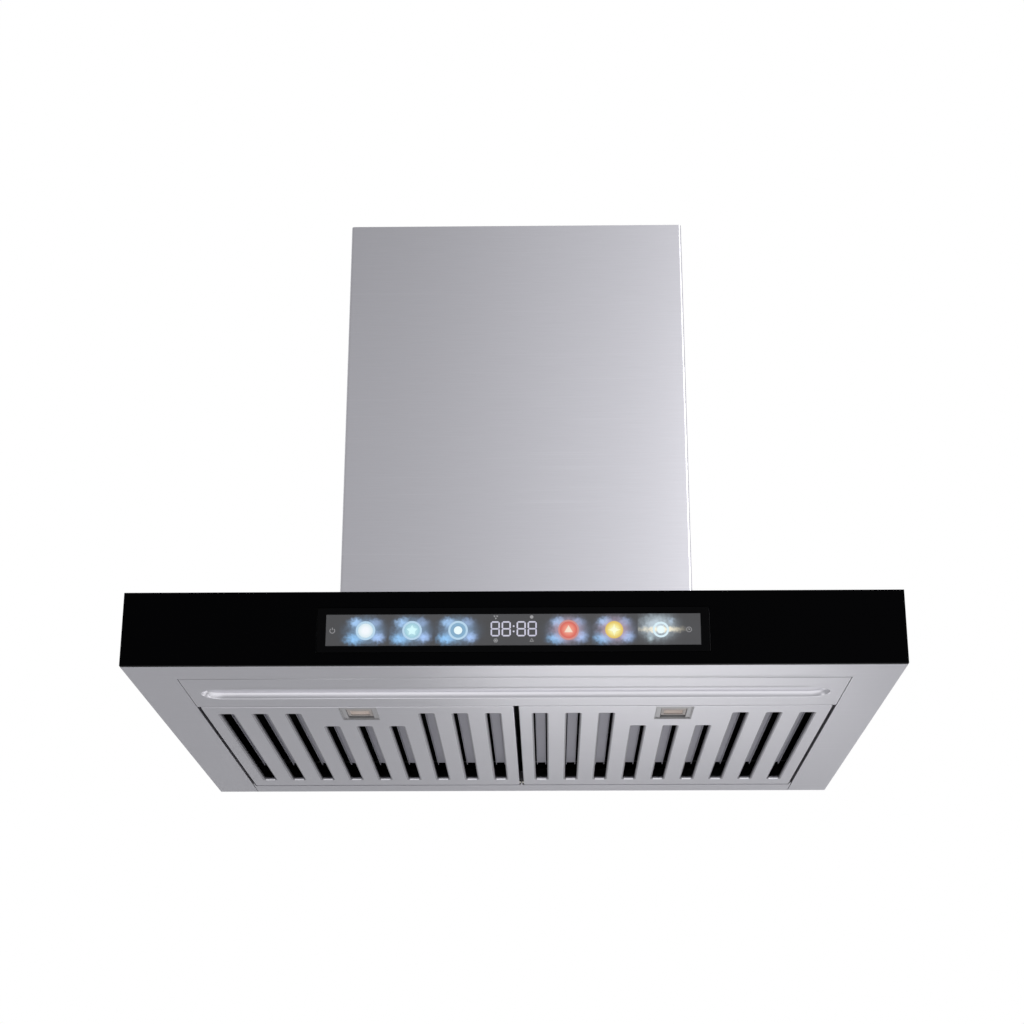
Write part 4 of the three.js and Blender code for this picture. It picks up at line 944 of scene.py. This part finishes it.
def strip_finish():
    """Matt anodised strips; the bar that they are riveted to at the rear is painted near-black as
    shade.
    """
    material, net = finish_net("anodised_strip")
    _, y, z = net.parts(net.place())
    low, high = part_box("filter_baffles_left")
    over_strips, bar_depth = 0.0026, 0.0062
    # The rear bar above the strips is painted near-black: painted shade, as it lies in the dark behind
    # the strips.
    bar = (z > low.z + over_strips) * (y > high.y - bar_depth)
    cloud = net.noise(net.place(), 14.0, 3.0)
    pale = net.blend(cloud, shade(162, 161, 170), shade(173, 172, 181))
    return surfaced(material, net, {
        "Base Color": net.blend(bar, pale, shade(9, 9, 10)), "Metallic": 0.3 - 0.3 * bar,
        "Roughness": 0.44 + 0.12 * cloud, "Specular IOR Level": 0.3,
    })


ANODISED = strip_finish()
for side in ("left", "right"):
    filter_tray(side)
    knuckles(side)
    dress(["filter_baffles_" + side], ANODISED, 0.00015)
    dress(["hinge_rod_" + side], ZINC, 0.0003)


# ---- Latches ----
# Each filter has a zinc die-cast latch: a dished tray, a sliding pull with a finger cup, and a coil
# spring that pushes the pull's tongue over the keeper.

LATCH = moulded_finish("latch_casting", shade(160, 159, 161), shade(174, 173, 174), 0.42, 0.4)


def pull_finish():
    """A casting painted darker on its rim and pale in its cup: painted light that cancels the cup's
    shade, so the pull looks evenly beige.
    """
    material, net = finish_net("latch_pull_casting")
    _, _, z = net.parts(net.place())
    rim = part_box("latch_pull_left")[0].z
    dark_rim_reach, pale_cup_from = 0.0004, 0.0018
    # Up in the cup the colour turns pale and the rim stays darker: painted light against the cup's
    # shade.
    painted_cup_light = net.step(z, rim + dark_rim_reach, rim + pale_cup_from)
    cloud = net.noise(net.place(), 60.0, 2.0)
    outside = net.blend(cloud, shade(150, 143, 140), shade(164, 157, 153))
    inside = net.blend(cloud, shade(232, 222, 216), shade(242, 233, 227))
    return surfaced(material, net, {
        "Base Color": net.blend(painted_cup_light, outside, inside), "Roughness": 0.5,
        "Specular IOR Level": 0.4,
    })


PULL = pull_finish()


def coil(side):
    """A compression spring of six turns; its end turns lie almost closed."""
    low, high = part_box("latch_spring_" + side)
    length = high.y - low.y
    wire = 0.0004
    radius = (high.x - low.x) / 2 - wire
    middle = Vector(((low.x + high.x) / 2, 0.0, (low.z + high.z) / 2))
    turns, steps, round_steps = 6, 22, 8
    closed_share = 0.06
    start, run = low.y + wire, length - 2 * wire
    along = Vector((0.0, 1.0, 0.0))
    mesh = bmesh.new()
    rings = []
    for i in range(turns * steps + 1):
        t = i / (turns * steps)
        open_part = min(1.0, max(0.0, (t - 1 / turns) / (1 - 2 / turns)))
        angle = 2 * math.pi * turns * t
        out = Vector((math.cos(angle), 0.0, math.sin(angle)))
        centre = middle + out * radius
        centre.y = start + run * ((1 - closed_share) * open_part + closed_share * t)
        ring = []
        for k in range(round_steps):
            a = 2 * math.pi * k / round_steps
            ring.append(mesh.verts.new(centre + wire * (out * math.cos(a) + along * math.sin(a))))
        if rings:
            bridge(mesh, rings[-1], ring)
        rings.append(ring)
    mesh.faces.new(rings[0])
    mesh.faces.new(rings[-1])
    spring = piece_of(mesh, "latch_coil_" + side, ZINC, "latch_" + side,
                      ["latch_spring_" + side])
    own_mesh(spring)


for side in ("left", "right"):
    dress(["latch_tray_" + side], LATCH, 0.0002, True)
    dress(["latch_pull_" + side], PULL, 0.0002, True)
    coil(side)


# ---- Lower chimney covers ----
# Two folded halves of brushed stainless stand on an angle ring that is screwed to the canopy. The rear
# half's lap strips reach behind the front half's edges, and two screws at the back hold it to the ring.

dress(["chimney_lower_front", "chimney_lower_rear"], STEEL, COVER_EDGE)
dress(["chimney_base_ring"], GALVANISED, 0.0003)


def pan_screw(name, x, y, z, facing):
    """A pan-head screw with a cross recess, its head standing off a wall along Y."""
    mesh = bmesh.new()
    head, height, fillet = 0.0036, 0.0018, 0.0010
    arm, width, recess = 0.0021, 0.00045, 0.0011
    cross = [(arm, -width), (arm, width), (width, width), (width, arm), (-width, arm), (-width, width),
             (-arm, width), (-arm, -width), (-width, -width), (-width, -arm), (width, -arm),
             (width, -width)]

    def ring(loop, depth):
        return [mesh.verts.new((x + u, y + facing * depth, z + v)) for u, v in loop]

    rings = [ring(circle(head, 32), 0.0)]
    for i in range(6):
        angle = (math.pi / 2) * i / 5
        rings.append(ring(circle(head - fillet + fillet * math.cos(angle), 32),
                          height - fillet + fillet * math.sin(angle)))
    for first, second in zip(rings, rings[1:]):
        bridge(mesh, first, second)
    mouth, floor = ring(cross, height), ring(cross, height - recess)
    bridge(mesh, mouth, floor)
    cap(mesh, [rings[0]])
    cap(mesh, [rings[-1], mouth])
    cap(mesh, [floor])
    piece_of(mesh, name, ZINC, "hood")


cover_low, cover_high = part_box("chimney_lower_rear")
SCREW_HEIGHT = cover_low.z + 0.008
for index, x in enumerate((-0.12, 0.12)):
    pan_screw("cover_screw_%d" % (index + 1), x, cover_high.y, SCREW_HEIGHT, 1)


# ---- Studio ----
# A pale floor far below the hood, soft light from the right, and white air behind. The floor fades away
# at its rim, so that it meets the white without an edge.

FLOOR_Z = -2.8
FLOOR_RADIUS = 10.9
FADE_FROM, FADE_TO = 4.1, 10.2
FLOOR_MIDDLE_X = 0.6


def floor_finish():
    material, net = finish_net("studio_floor")
    x, y, _ = net.parts(net.place())
    away = net.math("SQRT", x * x + y * y)
    seen = net.step(away, FADE_FROM, FADE_TO, 1.0, 0.0)
    matt = net.add("ShaderNodeBsdfDiffuse", {}, {"Color": (0.86, 0.86, 0.87, 1.0)})
    clear = net.add("ShaderNodeBsdfTransparent")
    mixed = net.add("ShaderNodeMixShader", {}, {0: seen, 1: clear, 2: matt})
    net.add("ShaderNodeOutputMaterial", {}, {"Surface": mixed}, output=())
    return material


def studio_floor():
    mesh = bmesh.new()
    mesh.faces.new(loop_of(mesh, circle(FLOOR_RADIUS, 64), 0.0))
    data = bpy.data.meshes.new("studio_floor")
    mesh.to_mesh(data)
    mesh.free()
    data.materials.append(floor_finish())
    floor = bpy.data.objects.new("studio_floor", data)
    floor.location = (FLOOR_MIDDLE_X, 0.0, FLOOR_Z)
    bpy.context.scene.collection.objects.link(floor)


studio_floor()

world = bpy.data.worlds.new("studio_air")
world.use_nodes = True
bpy.context.scene.world = world
air = Net(world.node_tree)
toward_x, toward_y, toward_z = air.parts(air.place("Generated"))

# In front, the air is brighter towards the right and a little above the level.
sideways = air.step(toward_x, -0.34, 0.30, 0.66, 1.17)
sky = air.step(toward_z, -0.25, 0.30, 0.55, 1.0) * air.step(toward_z, 0.38, 0.58, 1.0, 0.4)
front_light = sideways * sky

# Behind, it is brighter low down and at the right.
low_band = air.step(toward_z, -0.22, -0.05, 0.585, 0.29)
rear_light = low_band * air.step(toward_x, 0.06, 0.2, 0.96, 1.6)
behind = air.step(toward_y, -0.5, 0.2)
level = front_light + (rear_light - front_light) * behind

# The backdrop itself is white, as seen directly, through clear things and in glossy ones.
camera_ray, clear_ray, glossy_ray = air.add("ShaderNodeLightPath", output=(
    "Is Camera Ray", "Is Transmission Ray", "Is Glossy Ray"))
backdrop = air.step(toward_y, 0.0, 0.3) * air.step(toward_z, 0.0, 0.12)
white_share = air.math("MAXIMUM", camera_ray, clear_ray)
white_share = air.math("MAXIMUM", white_share, glossy_ray * backdrop)
lit_air = {"Color": (0.97, 0.975, 1.0, 1.0), "Strength": level}
grey_air = air.add("ShaderNodeBackground", {}, lit_air)
white = {"Color": (1.0, 1.0, 1.0, 1.0), "Strength": 1.0}
white_air = air.add("ShaderNodeBackground", {}, white)
mixed_air = air.add("ShaderNodeMixShader", {}, {0: white_share, 1: grey_air, 2: white_air})
air.add("ShaderNodeOutputWorld", {}, {"Surface": mixed_air}, output=())


def soft_lamp(name, place, target, wide, high, power):
    """A round soft lamp that looks at target and isn't seen itself."""
    data = bpy.data.lights.new(name, "AREA")
    data.shape = "ELLIPSE"
    data.size = wide
    data.size_y = high
    data.energy = power
    lamp = bpy.data.objects.new(name, data)
    lamp.location = place
    aim = Vector(target) - Vector(place)
    lamp.rotation_euler = aim.to_track_quat("-Z", "Y").to_euler()
    lamp.visible_camera = False
    bpy.context.scene.collection.objects.link(lamp)


soft_lamp("key_lamp", (2.6, -2.4, 0.8), (0.0, 0.0, -0.4), 1.6, 1.6, 30.0)
soft_lamp("low_lamp", (0.1, 0.0, -2.05), (0.0, -0.1, -0.5), 2.4, 1.9, 9.0)
soft_lamp("left_lamp", (-1.3, 0.1, -1.7), (0.0, 0.1, -0.55), 0.35, 0.35, 1.2)
soft_lamp("right_lamp", (1.3, 0.1, -1.7), (0.0, 0.1, -0.55), 0.35, 0.35, 1.2)
soft_lamp("sheen_lamp", (0.17, 0.50, -0.915), (0.1, -0.28, -0.55), 0.58, 0.21, 0.45)

# The camera looks up at the hood from in front, turned a little to the left.
camera_data = bpy.data.cameras.new("camera")
camera_data.sensor_width = 36.0
camera_data.lens = 67.48
camera_data.shift_x = -10 / 1024
camera = bpy.data.objects.new("camera", camera_data)
stand = Vector((0.0344, -2.0626, -1.0249))
yaw, pitch = math.radians(0.84), math.radians(19.68)
look = Vector((-math.sin(yaw) * math.cos(pitch), math.cos(yaw) * math.cos(pitch), math.sin(pitch)))
right = Vector((math.cos(yaw), math.sin(yaw), 0.0))
up = right.cross(look)
camera.matrix_world = Matrix((
    (right.x, up.x, -look.x, stand.x),
    (right.y, up.y, -look.y, stand.y),
    (right.z, up.z, -look.z, stand.z),
    (0.0, 0.0, 0.0, 1.0),
))
bpy.context.scene.collection.objects.link(camera)
bpy.context.scene.camera = camera
bpy.context.scene.view_settings.view_transform = "Standard"
